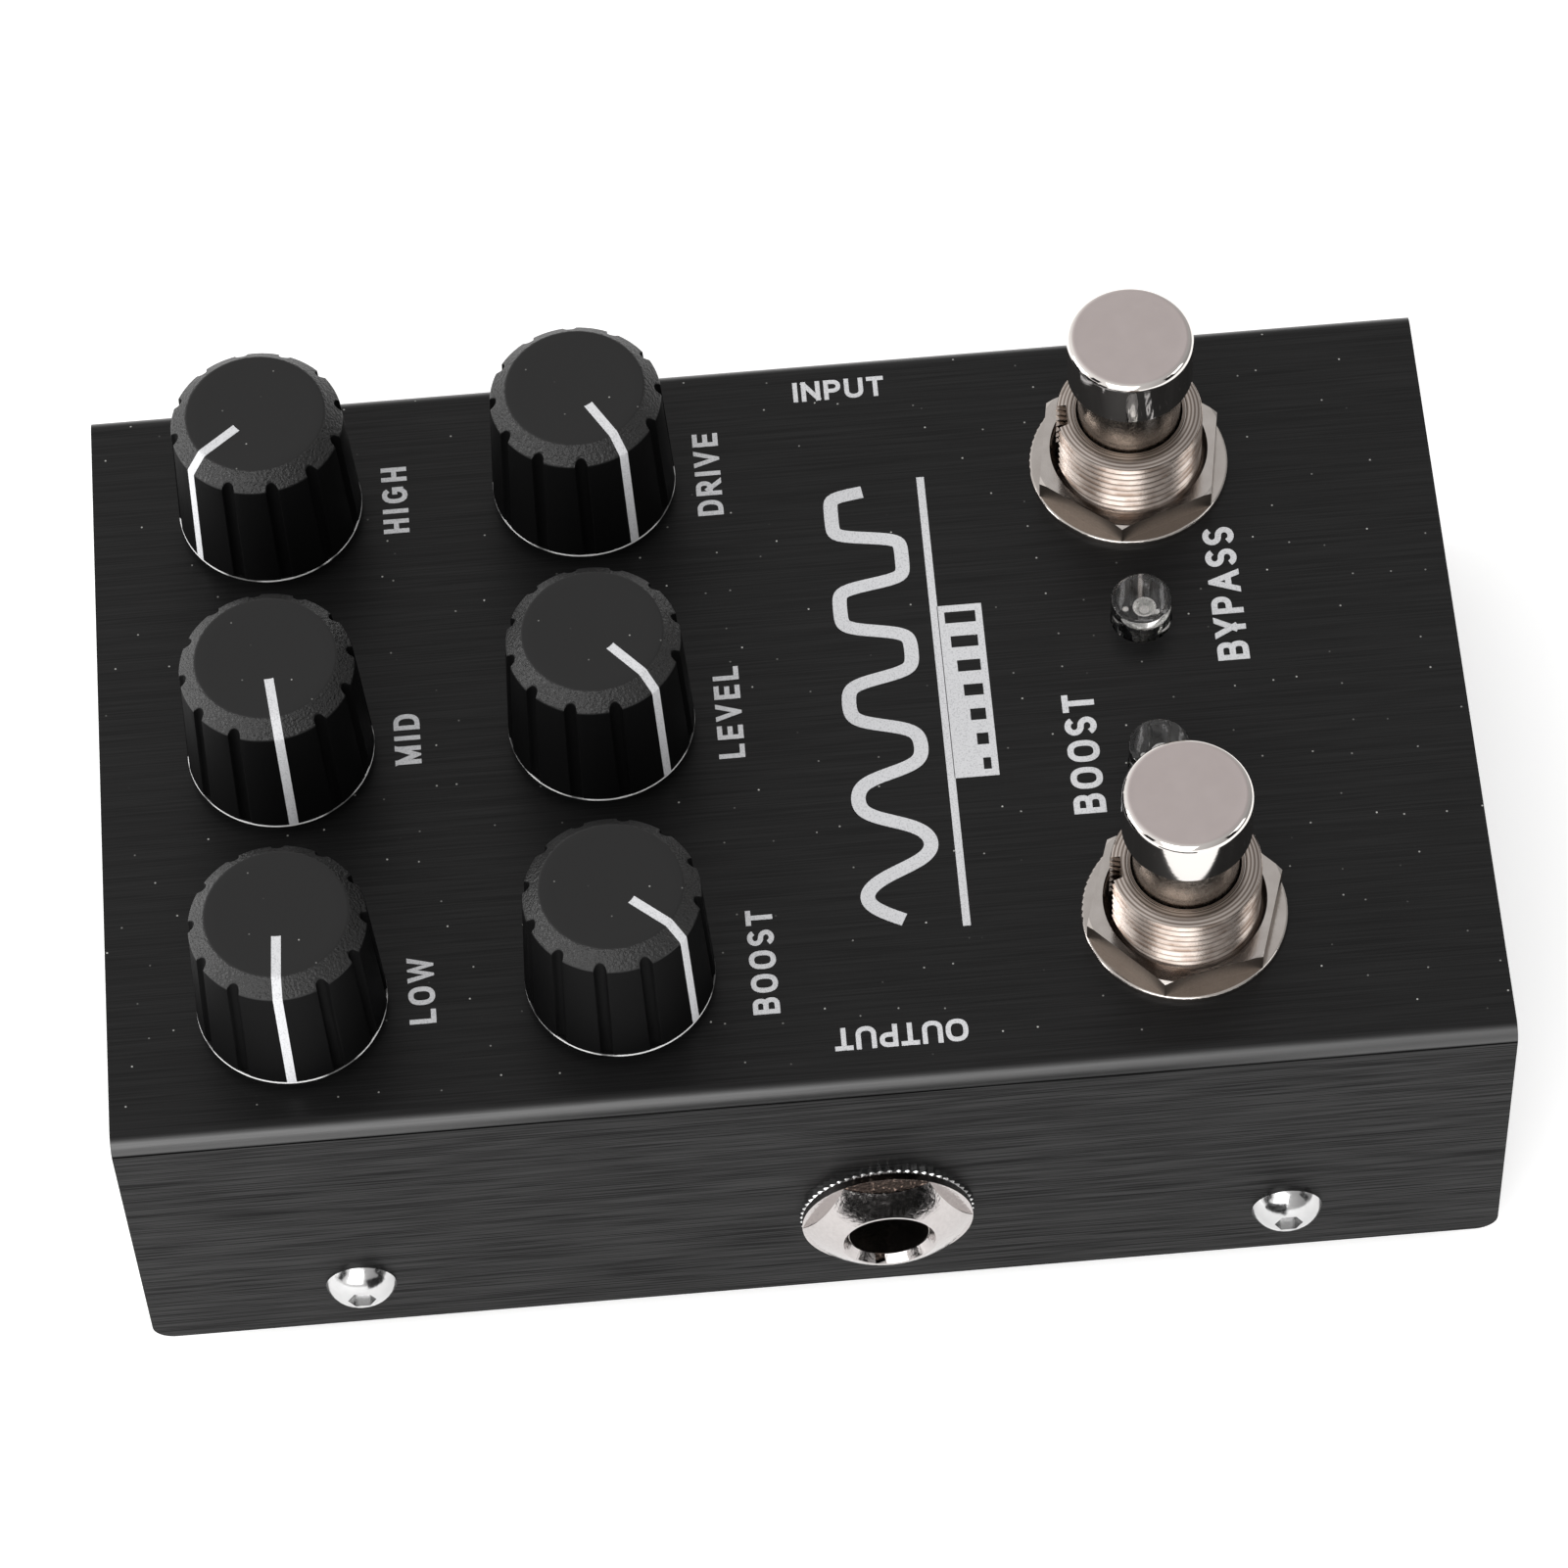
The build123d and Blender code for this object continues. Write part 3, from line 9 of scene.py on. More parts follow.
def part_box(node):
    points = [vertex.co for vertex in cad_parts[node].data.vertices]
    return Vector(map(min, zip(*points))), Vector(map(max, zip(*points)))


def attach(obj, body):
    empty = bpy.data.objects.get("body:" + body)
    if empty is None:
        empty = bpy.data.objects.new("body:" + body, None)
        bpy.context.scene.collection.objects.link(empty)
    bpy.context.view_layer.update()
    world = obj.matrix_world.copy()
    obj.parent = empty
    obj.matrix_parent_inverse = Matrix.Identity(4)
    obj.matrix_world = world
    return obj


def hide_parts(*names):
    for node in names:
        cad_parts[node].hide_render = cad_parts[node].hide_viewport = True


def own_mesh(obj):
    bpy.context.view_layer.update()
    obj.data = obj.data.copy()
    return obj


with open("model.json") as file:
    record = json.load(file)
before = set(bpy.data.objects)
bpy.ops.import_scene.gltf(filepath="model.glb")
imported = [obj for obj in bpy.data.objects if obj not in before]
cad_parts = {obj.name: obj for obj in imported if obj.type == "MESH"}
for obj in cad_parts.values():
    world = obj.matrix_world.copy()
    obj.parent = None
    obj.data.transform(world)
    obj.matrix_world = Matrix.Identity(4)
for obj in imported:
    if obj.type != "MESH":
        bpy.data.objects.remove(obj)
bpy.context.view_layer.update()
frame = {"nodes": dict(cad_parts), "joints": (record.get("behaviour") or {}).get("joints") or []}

# Guitar effects pedal. Lengths are in millimetres in the part's frame, and MM turns them into
# metres. Only the places and sizes of lights and cards, and AIM, are in metres.

MM = 0.001
nodes = frame["nodes"]


# ---------------------------------------------------------------- where things are

def corners(node):
    """Lowest and highest corners of a CAD node, in millimetres."""
    low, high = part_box(node)
    return low / MM, high / MM


def centre(node):
    """Middle of a CAD node in X and Y, in millimetres."""
    low, high = corners(node)
    return (low.x + high.x) / 2, (low.y + high.y) / 2


CONTROLS = ("high", "mid", "low", "drive", "level", "boost")
SWITCHES = ("bypass", "boost")
PANEL = corners("top_cover")[1].z
WALL = corners("top_cover")[1].x
POINTER_SWEEP = 240.0
THREAD_RADIUS = 5.95
THREAD_DEPTH = 0.40
TURNED_RINGS = 2 * math.pi / 0.30


# ---------------------------------------------------------------- camera, lights and surroundings

CAMERA_PLACE = (-295.72, 6.74, 493.35)
CAMERA_TURN = (32.122, 1.919, -94.332)
CAMERA_LENS = 156.5

camera = bpy.data.objects.new("camera", bpy.data.cameras.new("camera"))
camera.location = Vector(CAMERA_PLACE) * MM
camera.rotation_euler = [math.radians(a) for a in CAMERA_TURN]
camera.data.lens = CAMERA_LENS
camera.data.sensor_width = 36.0
bpy.context.scene.collection.objects.link(camera)
bpy.context.scene.camera = camera
bpy.context.scene.view_settings.view_transform = "Standard"

AIM = Vector((0.0, 0.0, 0.03))


def area_light(name, place, size, watts):
    """Soft rectangular light, turned to the pedal."""
    light = bpy.data.lights.new(name, "AREA")
    light.shape = "RECTANGLE"
    light.size, light.size_y = size
    light.energy = watts
    lamp = bpy.data.objects.new(name, light)
    lamp.location = place
    lamp.rotation_euler = (AIM - Vector(place)).to_track_quat("-Z", "Y").to_euler()
    bpy.context.scene.collection.objects.link(lamp)


area_light("light_front", (-0.95, 0.30, 0.72), (0.9, 1.15), 9.0)
area_light("light_left", (0.05, 1.3, 0.36), (0.8, 0.55), 9.0)
area_light("light_right", (-0.3, -1.2, 0.8), (0.6, 0.5), 2.0)


WORLD_DIM = 0.30
WORLD_BRIGHT = 1.12


def soft_world():
    """Plain surroundings that grow brighter from -Y, the picture's right, to +Y, its left."""
    world = bpy.data.worlds.new("studio")
    world.use_nodes = True
    tree = world.node_tree
    background = tree.nodes["Background"]
    background.inputs["Color"].default_value = (1.0, 0.99, 0.985, 1.0)
    coordinates = tree.nodes.new("ShaderNodeTexCoord")
    axes = tree.nodes.new("ShaderNodeSeparateXYZ")
    strength = tree.nodes.new("ShaderNodeMapRange")
    limits = {"From Min": -1.0, "From Max": 1.0, "To Min": WORLD_DIM, "To Max": WORLD_BRIGHT}
    for key, number in limits.items():
        strength.inputs[key].default_value = number
    tree.links.new(coordinates.outputs["Generated"], axes.inputs["Vector"])
    tree.links.new(axes.outputs["Y"], strength.inputs["Value"])
    tree.links.new(strength.outputs["Result"], background.inputs["Strength"])
    bpy.context.scene.world = world


soft_world()


# ---------------------------------------------------------------- material helpers

SOCKETS = {
    "colour": "Base Color",
    "roughness": "Roughness",
    "metallic": "Metallic",
    "specular": "Specular IOR Level",
    "transmission": "Transmission Weight",
    "ior": "IOR",
}


def shader(name, **values):
    """New Principled material with its constant sockets set. Returns (material, node tree, shader)."""
    material = bpy.data.materials.new(name)
    material.use_nodes = True
    tree = material.node_tree
    principled = tree.nodes["Principled BSDF"]
    for key, value in values.items():
        principled.inputs[SOCKETS[key]].default_value = (*value, 1.0) if key == "colour" else value
    return material, tree, principled


def feed(tree, principled, key, value):
    """Link a value to one of the shader's sockets."""
    tree.links.new(value, principled.inputs[SOCKETS[key]])


def in_mm(tree, stretch=(1.0, 1.0, 1.0)):
    """Object coordinates in millimetres, each axis multiplied by its stretch."""
    coordinates = tree.nodes.new("ShaderNodeTexCoord")
    mapping = tree.nodes.new("ShaderNodeMapping")
    mapping.inputs["Scale"].default_value = [s / MM for s in stretch]
    tree.links.new(coordinates.outputs["Object"], mapping.inputs["Vector"])
    return mapping.outputs["Vector"]


def noise(tree, vector, scale, detail=3.0):
    """Noise between 0 and 1 at a vector."""
    node = tree.nodes.new("ShaderNodeTexNoise")
    node.inputs["Scale"].default_value = scale
    node.inputs["Detail"].default_value = detail
    tree.links.new(vector, node.inputs["Vector"])
    return node.outputs["Fac"]


def remap(tree, value, low, high, to_low, to_high):
    """Value moved from one range to another and held inside it."""
    node = tree.nodes.new("ShaderNodeMapRange")
    for key, number in zip(("From Min", "From Max", "To Min", "To Max"), (low, high, to_low, to_high)):
        node.inputs[key].default_value = number
    tree.links.new(value, node.inputs["Value"])
    return node.outputs["Result"]


def arithmetic(tree, operation, first, second):
    """Result of a maths node, where each side is an output or a number."""
    node = tree.nodes.new("ShaderNodeMath")
    node.operation = operation
    for slot, value in zip(node.inputs, (first, second)):
        if isinstance(value, (int, float)):
            slot.default_value = value
        else:
            tree.links.new(value, slot)
    return node.outputs["Value"]


def band(tree, value, start, full, still, end):
    """1 where a value lies between full and still, falling to 0 at start and at end."""
    rising = remap(tree, value, start, full, 0.0, 1.0)
    falling = remap(tree, value, still, end, 1.0, 0.0)
    return arithmetic(tree, "MULTIPLY", rising, falling)


def blend_colours(tree, factor, first, second):
    """Colour between two, where either may be an output or three numbers."""
    node = tree.nodes.new("ShaderNodeMix")
    node.data_type = "RGBA"
    tree.links.new(factor, node.inputs["Factor"])
    for slot, value in ((node.inputs[6], first), (node.inputs[7], second)):
        if isinstance(value, tuple):
            slot.default_value = (*value, 1.0)
        else:
            tree.links.new(value, slot)
    return node.outputs[2]


def blend_values(tree, factor, first, second):
    """Number between two, where each is an output or a number."""
    node = tree.nodes.new("ShaderNodeMix")
    tree.links.new(factor, node.inputs["Factor"])
    for slot, value in ((node.inputs["A"], first), (node.inputs["B"], second)):
        if isinstance(value, (int, float)):
            slot.default_value = value
        else:
            tree.links.new(value, slot)
    return node.outputs["Result"]


def bump(tree, principled, height, distance_mm, strength=1.0):
    """Feed a height to the shader's normal."""
    node = tree.nodes.new("ShaderNodeBump")
    node.inputs["Strength"].default_value = strength
    node.inputs["Distance"].default_value = distance_mm * MM
    tree.links.new(height, node.inputs["Height"])
    tree.links.new(node.outputs["Normal"], principled.inputs["Normal"])


def facing(tree, axis):
    """How far the unbumped surface faces along an axis, from -1 to 1."""
    geometry = tree.nodes.new("ShaderNodeNewGeometry")
    axes = tree.nodes.new("ShaderNodeSeparateXYZ")
    tree.links.new(geometry.outputs["Normal"], axes.inputs["Vector"])
    return axes.outputs[axis]


def dust(tree, spacing, size):
    """1 on small specks that lie on upward faces, 0 elsewhere."""
    flat = in_mm(tree)
    cells = tree.nodes.new("ShaderNodeTexVoronoi")
    cells.voronoi_dimensions = "2D"
    cells.inputs["Scale"].default_value = 1.0 / spacing
    tree.links.new(flat, cells.inputs["Vector"])
    speck = remap(tree, cells.outputs["Distance"], 0.4 * size / spacing, 0.6 * size / spacing, 1.0, 0.0)
    parts = tree.nodes.new("ShaderNodeSeparateColor")
    tree.links.new(cells.outputs["Color"], parts.inputs["Color"])
    chosen = remap(tree, parts.outputs["Red"], 0.45, 1.0, 0.0, 1.0)
    upward = remap(tree, facing(tree, "Z"), 0.9, 0.95, 0.0, 1.0)
    return arithmetic(tree, "MULTIPLY", arithmetic(tree, "MULTIPLY", speck, chosen), upward)


# ---------------------------------------------------------------- materials

def anodised(name, along):
    """Black anodised aluminium, brushed along one axis, with dust, a painted highlight along the fold
    and a painted dark line just under it.
    """
    material, tree, principled = shader(name, specular=0.25)
    fine = noise(tree, in_mm(tree, tuple(0.012 if axis == along else 1.0 for axis in "XYZ")), 8.5, 2.0)
    coarse = noise(tree, in_mm(tree, tuple(0.02 if axis == along else 1.0 for axis in "XYZ")), 2.0, 3.0)
    fine, coarse = arithmetic(tree, "MULTIPLY", fine, 0.8), arithmetic(tree, "MULTIPLY", coarse, 0.2)
    streaks = arithmetic(tree, "ADD", fine, coarse)
    tilt = arithmetic(tree, "ABSOLUTE", facing(tree, "Z"), 0.0)
    upright = remap(tree, tilt, 0.04, 0.9, 1.0, 0.0)
    # Painted highlight: the specular level is raised to 1 on the fold's tilt band. Painted dark line: it
    # is cut to 0 on the band just under the fold.
    fold_highlight = band(tree, tilt, 0.14, 0.26, 0.78, 0.96)
    shadow_line = band(tree, tilt, 0.01, 0.05, 0.12, 0.18)
    gentle = remap(tree, streaks, 0.35, 0.65, 0.22, 0.28)
    strong = remap(tree, streaks, 0.40, 0.60, 0.04, 0.150)
    # Painted fold highlight and painted dark line under it, both set in the specular level.
    level = blend_values(tree, fold_highlight, blend_values(tree, upright, gentle, strong), 1.0)
    level = blend_values(tree, shadow_line, level, 0.0)
    feed(tree, principled, "specular", level)
    shade = remap(tree, streaks, 0.36, 0.64, 0.0, 1.0)
    colour = blend_colours(tree, shade, (0.0035, 0.0035, 0.0036), (0.0075, 0.0075, 0.0076))
    colour = blend_colours(tree, dust(tree, 3.4, 0.15), colour, (0.45, 0.45, 0.43))
    feed(tree, principled, "colour", colour)
    feed(tree, principled, "roughness", remap(tree, streaks, 0.3, 0.7, 0.44, 0.34))
    bump(tree, principled, streaks, 0.010, 0.6)
    return material


def moulded(name, dark, light, roughness, grain_mm=0.006, specular=0.5):
    """Moulded plastic or rubber with a fine grain."""
    material, tree, principled = shader(name, specular=specular)
    grain = noise(tree, in_mm(tree), 7.0, 4.0)
    cloud = noise(tree, in_mm(tree), 0.5, 2.0)
    feed(tree, principled, "colour", blend_colours(tree, cloud, dark, light))
    feed(tree, principled, "roughness", remap(tree, grain, 0.3, 0.7, roughness - 0.06, roughness + 0.06))
    bump(tree, principled, grain, grain_mm)
    return material


def metal(name, dark, light, roughness, grain_mm=0.003, stretch=(1.0, 1.0, 1.0), grain_scale=5.0):
    """Bare or plated metal with fine tool marks and slight cloudiness."""
    material, tree, principled = shader(name, metallic=1.0)
    marks = noise(tree, in_mm(tree, stretch), grain_scale, 3.0)
    cloud = noise(tree, in_mm(tree), 0.6, 3.0)
    feed(tree, principled, "colour", blend_colours(tree, cloud, dark, light))
    feed(tree, principled, "roughness", remap(tree, marks, 0.3, 0.7, roughness * 0.7, roughness * 1.3))
    bump(tree, principled, marks, grain_mm)
    return material


def nickel_nut():
    """Plating with painted reflections: bright on faces that look up, duller and browner on upright
    faces.
    """
    material, tree, principled = shader("nickel_nut", metallic=1.0)
    cloud = noise(tree, in_mm(tree), 0.8, 3.0)
    marks = noise(tree, in_mm(tree), 6.0, 3.0)
    # Upward faces get the bright tone and upright faces the brown one: painted reflections set by
    # facing, one plating in two tones.
    up = remap(tree, facing(tree, "Z"), 0.35, 0.85, 0.0, 1.0)
    bright = blend_colours(tree, cloud, (0.48, 0.44, 0.41), (0.64, 0.60, 0.57))
    brown = blend_colours(tree, marks, (0.20, 0.165, 0.14), (0.38, 0.32, 0.27))
    feed(tree, principled, "colour", blend_colours(tree, up, brown, bright))
    feed(tree, principled, "roughness", blend_values(tree, up, 0.38, 0.15))
    bump(tree, principled, marks, 0.003)
    return material


def nickel_cap():
    """Pinkish plating: satin on the face, mirror-bright on the edge and side; the face's darker pink
    tone against the paler edge is partly the plating's warm tint and partly a painted reflection.
    """
    material, tree, principled = shader("nickel_cap", metallic=1.0)
    cloud = noise(tree, in_mm(tree), 0.6, 3.0)
    marks = noise(tree, in_mm(tree, (1.0, 0.15, 1.0)), 6.0, 3.0)
    up = remap(tree, facing(tree, "Z"), 0.90, 0.99, 0.0, 1.0)
    face = blend_colours(tree, cloud, (0.58, 0.51, 0.495), (0.64, 0.57, 0.555))
    # Paler colour on the edge and side, darker pink on the face that looks up: partly the plating's
    # tint, partly a painted reflection.
    feed(tree, principled, "colour", blend_colours(tree, up, (0.78, 0.74, 0.71), face))
    satin = remap(tree, marks, 0.3, 0.7, 0.15, 0.25)
    feed(tree, principled, "roughness", blend_values(tree, up, 0.06, satin))
    bump(tree, principled, marks, 0.0015)
    return material


def nickel_jack():
    """Peened plating, painted dark with pale speckles on the flats that look up and brighter on the
    other faces: a painted dark reflection with painted glints, set by facing.
    """
    material, tree, principled = shader("nickel_jack", metallic=1.0)
    peening = noise(tree, in_mm(tree), 3.2, 3.0)
    speckle = remap(tree, peening, 0.56, 0.66, 0.0, 1.0)
    up = remap(tree, facing(tree, "Z"), 0.80, 0.95, 0.0, 1.0)
    # Faces that look up get the dark speckled tone and the others the bright one: painted reflections
    # and painted glints on one plating.
    bright = blend_colours(tree, peening, (0.46, 0.43, 0.42), (0.60, 0.57, 0.56))
    flat = blend_colours(tree, speckle, (0.05, 0.04, 0.035), (0.34, 0.27, 0.23))
    feed(tree, principled, "colour", blend_colours(tree, up, bright, flat))
    feed(tree, principled, "roughness", remap(tree, peening, 0.3, 0.7, 0.10, 0.20))
    bump(tree, principled, peening, 0.022)
    return material


def nickel_thread():
    """Plated thread: bright crests, grooves painted dark brown as painted shade, turned rings on the end
    face.
    """
    material, tree, principled = shader("nickel_thread", metallic=1.0)
    flat = tree.nodes.new("ShaderNodeVectorMath")
    flat.operation = "LENGTH"
    tree.links.new(in_mm(tree, (1.0, 1.0, 0.0)), flat.inputs[0])
    radius = flat.outputs["Value"]
    marks = noise(tree, in_mm(tree), 5.0, 3.0)
    crest = remap(tree, radius, THREAD_RADIUS - 0.7 * THREAD_DEPTH, THREAD_RADIUS - 0.05, 0.0, 1.0)
    patina = remap(tree, noise(tree, in_mm(tree, (1.0, 1.0, 2.0)), 0.45, 4.0), 0.40, 0.62, 0.0, 1.0)
    up = remap(tree, facing(tree, "Z"), 0.7, 0.95, 0.0, 1.0)
    # Near-black brown groove colour is painted shade in the thread's recesses.
    groove_painted_shade = blend_colours(tree, marks, (0.035, 0.025, 0.020), (0.11, 0.08, 0.06))
    crest_tone = blend_colours(tree, patina, (0.47, 0.41, 0.37), (0.18, 0.125, 0.095))
    side_tone = blend_colours(tree, crest, groove_painted_shade, crest_tone)
    turned = tree.nodes.new("ShaderNodeMath")
    turned.operation = "SINE"
    tree.links.new(arithmetic(tree, "MULTIPLY", radius, TURNED_RINGS), turned.inputs[0])
    rings = remap(tree, turned.outputs["Value"], -1.0, 1.0, 0.0, 1.0)
    top_tone = blend_colours(tree, rings, (0.20, 0.16, 0.135), (0.58, 0.52, 0.48))
    feed(tree, principled, "colour", blend_colours(tree, up, side_tone, top_tone))
    feed(tree, principled, "roughness", blend_values(tree, up, 0.22, 0.30))
    bump(tree, principled, marks, 0.004)
    return material


def knob_black():
    """Matte black knob plastic: smooth face, leathery bevel, dust on the face; the bevel's lighter
    colour is partly its duller textured finish and partly painted light.
    """
    material, tree, principled = shader("knob_black", specular=0.3)
    leather = noise(tree, in_mm(tree), 4.2, 2.0)
    grain = noise(tree, in_mm(tree), 9.0, 3.0)
    slope = facing(tree, "Z")
    bevel = band(tree, slope, 0.45, 0.6, 0.85, 0.97)
    # Lighter colour on the bevel band, picked by facing: partly the textured finish, partly painted
    # light on the bevel.
    colour = blend_colours(tree, bevel, (0.0030, 0.0030, 0.0031), (0.0080, 0.0080, 0.0080))
    colour = blend_colours(tree, dust(tree, 2.8, 0.13), colour, (0.40, 0.40, 0.38))
    feed(tree, principled, "colour", colour)
    side = remap(tree, slope, 0.10, 0.40, 1.0, 0.0)
    feed(tree, principled, "specular", blend_values(tree, side, 0.45, 0.05))
    satin = remap(tree, grain, 0.3, 0.7, 0.38, 0.46)
    feed(tree, principled, "roughness", blend_values(tree, side, satin, 0.6))
    relief = arithmetic(tree, "MULTIPLY", leather, remap(tree, bevel, 0.0, 1.0, 0.05, 1.0))
    bump(tree, principled, relief, 0.16, 1.0)
    return material


def knob_rim_highlight():
    """Lower edge of a knob with a painted highlight: pale patches along it stand in for light caught by
    the edge.
    """
    material, tree, principled = shader("knob_rim_highlight", roughness=0.3)
    highlight_noise = noise(tree, in_mm(tree), 0.45, 3.0)
    highlight_patches = remap(tree, highlight_noise, 0.40, 0.52, 0.0, 1.0)
    # Pale patches are a painted highlight on the knob's lower edge.
    colour = blend_colours(tree, highlight_patches, (0.10, 0.10, 0.10), (0.70, 0.70, 0.70))
    feed(tree, principled, "colour", colour)
    return material


def print_white():
    """White screen print, slightly rough, thin in places."""
    material, tree, principled = shader("print_white", specular=0.3)
    speckle = noise(tree, in_mm(tree), 8.0, 4.0)
    solid = remap(tree, speckle, 0.35, 0.5, 0.0, 1.0)
    colour = blend_colours(tree, solid, (0.48, 0.485, 0.50), (0.64, 0.645, 0.66))
    feed(tree, principled, "colour", colour)
    feed(tree, principled, "roughness", remap(tree, speckle, 0.3, 0.7, 0.5, 0.7))
    bump(tree, principled, speckle, 0.004)
    return material


def clear_lamp():
    """Clear epoxy with a faint cloudiness."""
    epoxy = (0.96, 0.95, 0.95)
    material, tree, principled = shader("clear_lamp", transmission=1.0, ior=1.5, colour=epoxy)
    haze = noise(tree, in_mm(tree), 1.5, 3.0)
    feed(tree, principled, "roughness", remap(tree, haze, 0.3, 0.7, 0.0, 0.035))
    bump(tree, principled, haze, 0.010, 0.4)
    return material


FLOOR_GLOW = 0.5


def floor_pale():
    """Pale studio floor that glows a little, so that it comes out nearly white."""
    material, tree, principled = shader("floor_pale", roughness=0.9, specular=0.1)
    mottle = noise(tree, in_mm(tree), 0.01, 2.0)
    colour = blend_colours(tree, mottle, (0.86, 0.86, 0.86), (0.90, 0.90, 0.90))
    feed(tree, principled, "colour", colour)
    tree.links.new(colour, principled.inputs["Emission Color"])
    principled.inputs["Emission Strength"].default_value = FLOOR_GLOW
    return material


CASE_BLACK_LONG = anodised("case_black_long", "Y")
CASE_BLACK_ACROSS = anodised("case_black_across", "X")
KNOB_BLACK = knob_black()
KNOB_RIM_HIGHLIGHT = knob_rim_highlight()
PRINT_WHITE = print_white()
CLEAR_LAMP = clear_lamp()
NICKEL = metal("nickel_plate", (0.46, 0.42, 0.39), (0.62, 0.58, 0.55), 0.14)
NICKEL_CAP = nickel_cap()
NICKEL_JACK = nickel_jack()
NICKEL_NUT = nickel_nut()
NICKEL_THREAD = nickel_thread()
NICKEL_DARK = metal(
    "nickel_dark", (0.16, 0.135, 0.115), (0.40, 0.36, 0.32), 0.26, 0.006, grain_scale=2.5
)
SCREW_STEEL = metal("screw_steel", (0.52, 0.52, 0.52), (0.70, 0.70, 0.70), 0.16, 0.001)
TINNED = metal("tinned_metal", (0.55, 0.55, 0.54), (0.72, 0.72, 0.70), 0.3)
ZINC = metal("zinc_plate", (0.52, 0.54, 0.56), (0.68, 0.70, 0.72), 0.32, 0.004)
POT_SHELL = metal("pot_shell", (0.45, 0.46, 0.44), (0.60, 0.61, 0.58), 0.36, 0.006)
FOOT_RUBBER = moulded("foot_rubber", (0.012, 0.012, 0.012), (0.024, 0.024, 0.024), 0.75, 0.02, 0.3)
MOULDED_BLACK = moulded("moulded_black", (0.010, 0.010, 0.010), (0.020, 0.020, 0.020), 0.5)
BOARD_GREEN = moulded("board_green", (0.012, 0.075, 0.030), (0.020, 0.115, 0.045), 0.38)
CABLE_GREY = moulded("cable_grey", (0.20, 0.20, 0.20), (0.28, 0.28, 0.28), 0.5)
CARD_BLACK = moulded("card_black", (0.003, 0.003, 0.003), (0.006, 0.006, 0.006), 0.8, 0.02, 0.1)
WIRE_RED = moulded("wire_red", (0.24, 0.02, 0.02), (0.36, 0.03, 0.03), 0.42)

CAD_LOOKS = (
    ("top_cover", CASE_BLACK_LONG),
    ("base_tray", CASE_BLACK_ACROSS),
    ("case_screws", SCREW_STEEL),
    ("clinch_nuts", ZINC),
    ("rubber_feet", FOOT_RUBBER),
    ("knob_", KNOB_BLACK),
    ("pot_shaft_", TINNED),
    ("pot_housing_", POT_SHELL),
    ("pot_bushes", ZINC),
    ("pot_washers", ZINC),
    ("pot_nuts", ZINC),
    ("pot_pins", TINNED),
    ("switch_cap_", NICKEL_CAP),
    ("switch_plunger_", NICKEL_DARK),
    ("switch_bush_", NICKEL_THREAD),
    ("switch_nuts", NICKEL_NUT),
    ("switch_body_", MOULDED_BLACK),
    ("switch_spring_", TINNED),
    ("switch_", NICKEL),
    ("lamp_leads", TINNED),
    ("lamp_", CLEAR_LAMP),
    ("jack_body_", MOULDED_BLACK),
    ("jack_wires", WIRE_RED),
    ("jack_contacts", TINNED),
    ("jack_nuts", NICKEL_JACK),
    ("jack_", NICKEL),
    ("power_inlet_body", MOULDED_BLACK),
    ("power_inlet_contacts", TINNED),
    ("main_board", BOARD_GREEN),
    ("switch_board", BOARD_GREEN),
    ("amplifier_chips", MOULDED_BLACK),
    ("capacitors", MOULDED_BLACK),
    ("ribbon_cable", CABLE_GREY),
    ("ribbon_plugs", MOULDED_BLACK),
)

for node_name, node in nodes.items():
    look = next(material for prefix, material in CAD_LOOKS if node_name.startswith(prefix))
    node.data.materials.clear()
    node.data.materials.append(look)


# ---------------------------------------------------------------- mesh helpers

def piece(name, bm, material, body, replaces=(), sharp_degrees=None, place=None):
    """Turn a bmesh in millimetres into an object that rides on a CAD body."""
    bmesh.ops.scale(bm, vec=(MM, MM, MM), verts=bm.verts)
    bmesh.ops.recalc_face_normals(bm, faces=bm.faces)
    mesh = bpy.data.meshes.new(name)
    bm.to_mesh(mesh)
    bm.free()
    mesh.materials.append(material)
    mesh.polygons.foreach_set("use_smooth", [sharp_degrees is not None] * len(mesh.polygons))
    if sharp_degrees is not None:
        mesh.set_sharp_from_angle(angle=math.radians(sharp_degrees))
    made = bpy.data.objects.new(name, mesh)
    bpy.context.scene.collection.objects.link(made)
    if place is not None:
        made.matrix_world = place
    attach(made, body)
    if replaces:
        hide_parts(*replaces)
    return made


def absorb(bm, part):
    """Add one bmesh to another and free it."""
    mesh = bpy.data.meshes.new("part")
    part.to_mesh(mesh)
    part.free()
    bm.from_mesh(mesh)
    bpy.data.meshes.remove(mesh)


def standing(x, y, z, degrees=0.0):
    """Placement matrix of a piece built round the origin: an upright axis at x, y, z in millimetres."""
    return Matrix.Translation(Vector((x, y, z)) * MM) @ Matrix.Rotation(math.radians(degrees), 4, "Z")


def rounded(points, radius, steps=4):
    """Open chain of (r, z) points with its corners replaced by small arcs."""
    out = [points[0]]
    for before, corner, after in zip(points, points[1:], points[2:]):
        p, q, s = Vector(before), Vector(corner), Vector(after)
        back, ahead = (p - q), (s - q)
        reach = min(radius, 0.45 * back.length, 0.45 * ahead.length)
        start, end = q + back.normalized() * reach, q + ahead.normalized() * reach
        for i in range(steps + 1):
            t = i / steps
            out.append(tuple(start * (1 - t) ** 2 + q * 2 * t * (1 - t) + end * t ** 2))
    out.append(points[-1])
    return out


